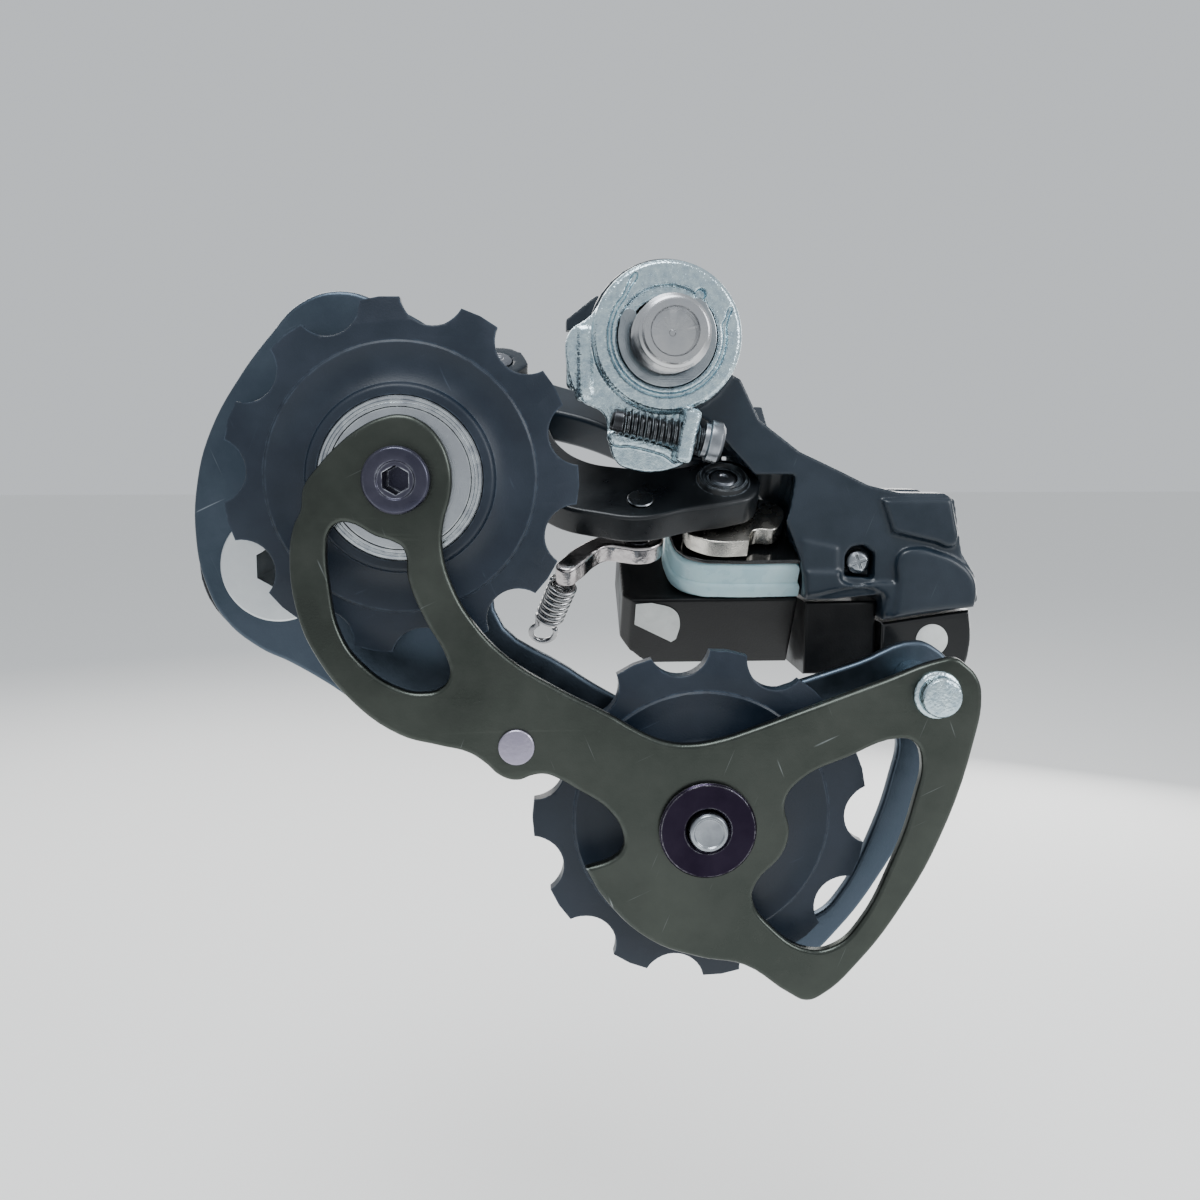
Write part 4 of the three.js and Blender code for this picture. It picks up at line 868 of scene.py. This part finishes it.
# ---- Cage pins, rivets and bolts
# A stop pin, a shouldered rivet and a plated spacer pin hold the plates apart; two M5 steel bolts carry the
# pulleys. The guide bolt's head is inboard, and the tension bolt's end shows through a dark washer.
lilac = coated("lilac_plating", (0.42, 0.39, 0.49), (0.34, 0.31, 0.40), rough=(0.3, 0.42), bump=0.35, grain=2200.0,
               rub_and_glint_tone=(0.8, 0.8, 0.85), rub_and_glint_amount=0.8, width=0.00025)
bolt_steel = coated("dark_bolt_steel", (0.050, 0.050, 0.075), (0.075, 0.073, 0.100), rough=(0.24, 0.38), bump=0.12,
                    rub_and_glint_tone=(0.7, 0.72, 0.78), rub_and_glint_amount=1.0, width=0.0003, lines=GUIDE)
dark_washer = coated("dark_washer_finish", (0.014, 0.010, 0.020), (0.024, 0.018, 0.032), rough=(0.16, 0.28),
                     bump=0.08, rub_and_glint_tone=(0.75, 0.75, 0.80), rub_and_glint_amount=1.0, width=0.00022, lines=TENSION, line_bump=0.12)
stop_pin = turned("cage_stop_pin_turned", [(0, 1.2), (1.7, 1.2), (1.9, 1.4), (1.9, 5.6), (1.2, 5.6), (1.2, 7.8),
                                           (0, 7.8)], stop_pin_at, steps=48)
smoothed(stop_pin, 0.05, "cage", machined_steel, "steel", "cage_stop_pin")
cage_rivet = turned("cage_rivet_headed", [
    (0, 6), (1.5, 6), (1.5, 7.85), (2.4, 7.85), (2.4, 16.25), (1.5, 16.25), (1.5, 18.15), (2.2, 18.15), (2.2, 18.5),
    (2.05, 18.62), (0, 18.66)], (20.3, -50.6), steps=64)
smoothed(cage_rivet, 0.04, "cage", lilac, "lilac_rivet", "cage_rivet")
spacer = turned("spacer_pin_headed", [
    (0, 6), (1.5, 6), (1.5, 7.85), (2.5, 7.85), (2.5, 16.25), (1.5, 16.25), (1.5, 18.15), (3.0, 18.15), (3.05, 18.4),
    (2.9, 18.65), (2.55, 18.75), (2.5, 20.1), (2.3, 20.4), (1.9, 20.5), (0.6, 20.42), (0, 20.45)],
    (-31.8, -44.8), steps=64)
smoothed(spacer, 0.04, "cage", zinc, "zinc_plate", "cage_spacer_pin")
guide_bolt = turned("guide_bolt_turned", [
    (0, 5.6), (2.0, 5.6), (2.45, 6.0), (2.45, 18.15), (3.95, 18.15), (4.0, 18.3), (4.0, 20.1), (3.75, 20.4),
    (3.6, 20.45), (2.3, 20.45), (2.15, 20.2), (1.95, 20.2), (0, 20.2)], GUIDE)
hexagon_socket(guide_bolt, 3, 14.5, 24, GUIDE)
smoothed(guide_bolt, 0.05, "cage", bolt_steel, "dark_steel", "guide_bolt")
tension_bolt = turned("tension_bolt_turned", [
    (0, 3.5), (3.6, 3.5), (4.0, 3.9), (4.0, 5.95), (2.45, 5.95), (2.45, 19.6), (2.25, 19.9), (1.95, 20.0),
    (1.75, 19.75), (0, 19.8)], TENSION)
hexagon_socket(tension_bolt, 3, 2, 5.4, TENSION)
smoothed(tension_bolt, 0.05, "cage", screw_steel, "dark_steel", "tension_bolt")
washer = turned("tension_washer_blanked", [
    (2.65, 18.15), (6.05, 18.15), (6.1, 18.3), (6.1, 18.75), (5.85, 18.98), (2.95, 18.98), (2.65, 18.75)], TENSION)
smoothed(washer, 0.03, "cage", dark_washer, "black_washer", "tension_washer")

# ---- Pulleys
# Eleven-tooth jockey wheels moulded in dark acetal, with a concave face between the teeth and the hub. The guide
# pulley turns on a sealed steel bearing, the tension pulley on a bronze bush between steel caps.
PULLEY_MID = 12
ROLLER_CIRCLE = 22.54
ROLLER = 3.95
TOOTH_TIP = 21.6
acetal = coated("dark_acetal", (0.006, 0.012, 0.022), (0.011, 0.019, 0.032), metallic=0.0, rough=(0.34, 0.5),
                bump=0.16, grain=4200.0, smudge=110.0, rub_and_glint_tone=(0.07, 0.10, 0.14), rub_and_glint_amount=0.45, width=0.0004,
                scratched=0.3, specular=0.42)


def tooth_outline(centre, turn):
    """Tips and the round seats between them, where the chain's rollers lie."""
    cosine = (ROLLER_CIRCLE ** 2 + TOOTH_TIP ** 2 - ROLLER ** 2) / (2 * ROLLER_CIRCLE * TOOTH_TIP)
    flank = math.acos(cosine)
    pitch = 2 * math.pi / 11
    outline = []
    for tooth in range(11):
        middle = turn + pitch * (tooth + 0.5)
        seat = (ROLLER_CIRCLE * math.cos(middle), ROLLER_CIRCLE * math.sin(middle))
        start = (TOOTH_TIP * math.cos(middle - flank), TOOTH_TIP * math.sin(middle - flank))
        first = math.atan2(start[1] - seat[1], start[0] - seat[0])
        sweep = 2 * ((first - (middle + math.pi)) % (2 * math.pi))
        outline.append(((TOOTH_TIP + 0.1) * math.cos(middle - pitch / 2), (TOOTH_TIP + 0.1) *
                        math.sin(middle - pitch / 2)))
        for step in range(15):
            at = first - sweep * step / 14
            outline.append((seat[0] + ROLLER * math.cos(at), seat[1] + ROLLER * math.sin(at)))
    return [(centre[0] + a, centre[1] + b) for a, b in outline]


def pulley(name, centre, hub, bore, turn):
    m = PULLEY_MID
    wheel = stamped(name, tooth_outline(centre, math.radians(turn)), m - 1.35, m + 1.35, 0.22, (), False, 1, False)
    cut(wheel, turned("tooth_taper", [(0, m - 1.4), (18.6, m - 1.4), (22.2, m - 0.75), (22.2, m + 0.75),
                                      (18.6, m + 1.4), (0, m + 1.4)], centre, steps=132), "INTERSECT")
    face = [(hub, 2.55), (hub + 0.25, 2.3), (hub + 0.45, 1.75), (hub + 1.1, 1.45), (13.4, 1.12), (14.8, 1.25),
            (15.9, 1.55), (16.25, 1.66), (16.5, 1.5), (16.6, 1.2)]
    upper = [(radius, m + height) for radius, height in face]
    lower = [(radius, m - height) for radius, height in face[::-1]]
    drill(wheel, 16.4, m - 3, m + 3, centre, sides=132)
    join(wheel, turned("web", [(bore, m + 2.6), (hub - 0.25, m + 2.6), *upper, *lower, (hub - 0.25, m - 2.6),
                               (bore, m - 2.6)], centre, steps=132))
    smooth_faces(wheel)
    return wheel


guide = pulley("guide_pulley_moulded", GUIDE, 11.1, 10.02, -14)
finished(guide, "guide_pulley", acetal, "pulley_resin", "guide_pulley")
tension = pulley("tension_pulley_moulded", TENSION, 9.4, 4.2, 0.5)
finished(tension, "tension_pulley", acetal, "pulley_resin", "tension_pulley")

bearing_steel = coated("bearing_steel", (0.72, 0.73, 0.72), (0.58, 0.59, 0.60), rough=(0.14, 0.26), bump=0.05,
                       lines=GUIDE, line_bump=0.3)
# the bright edge tone on the bare steel shields is a painted highlight along their pressed rings
shield_steel = coated("shield_steel", (0.52, 0.55, 0.58), (0.40, 0.42, 0.45), rough=(0.16, 0.30), bump=0.05,
                      rub_and_glint_tone=(0.92, 0.97, 0.96), rub_and_glint_amount=1.0, width=0.0003, lines=GUIDE, line_bump=0.3)
race = turned("bearing_race_ground", [(7.7, 9.3), (9.7, 9.3), (9.97, 9.55), (9.97, 14.45), (9.7, 14.7), (7.7, 14.7)],
              GUIDE, steps=128)
smoothed(race, 0.05, "guide_pulley", bearing_steel, "steel", "guide_bearing_ring")
shield_profile = [(5.0, 2.75), (9.75, 2.75), (9.9, 2.9), (9.75, 3.12), (9.5, 3.14), (9.35, 2.95), (9.1, 2.93),
                  (8.95, 3.14), (8.65, 3.16), (8.5, 2.98), (8.25, 3.0), (5.7, 3.12), (5.5, 3.34), (5.0, 3.36)]
for side, sign in (("inboard", 1), ("outboard", -1)):
    shield = turned(f"bearing_shield_{side}", [(radius, PULLEY_MID + sign * height)
                                               for radius, height in shield_profile], GUIDE, steps=128)
    smoothed(shield, 0, "guide_pulley", shield_steel, "zinc_plate", f"guide_shield_{side}")
    pulley_cap = turned(f"pulley_cap_{side}", [(4.3, PULLEY_MID + sign * 2.65), (8.6, PULLEY_MID + sign * 2.65),
                                               (8.6, PULLEY_MID + sign * 3.0), (8.2, PULLEY_MID + sign * 3.28),
                                               (4.3, PULLEY_MID + sign * 3.28)], TENSION)
    smoothed(pulley_cap, 0.05, "tension_pulley", machined_steel, "steel", f"tension_cap_{side}")
for node, bore, outside, centre, finish, slot in (
    ("guide_bush", 2.5, 4.65, GUIDE, machined_steel, "steel"),
    ("tension_bush", 2.5, 3.85, TENSION, bronze, "bronze"),
):
    bush = turned(node + "_turned", [(bore, 7.85), (outside, 7.85), (outside, 16.25), (bore, 16.25)], centre)
    smoothed(bush, 0.12, "cage", finish, slot, node)
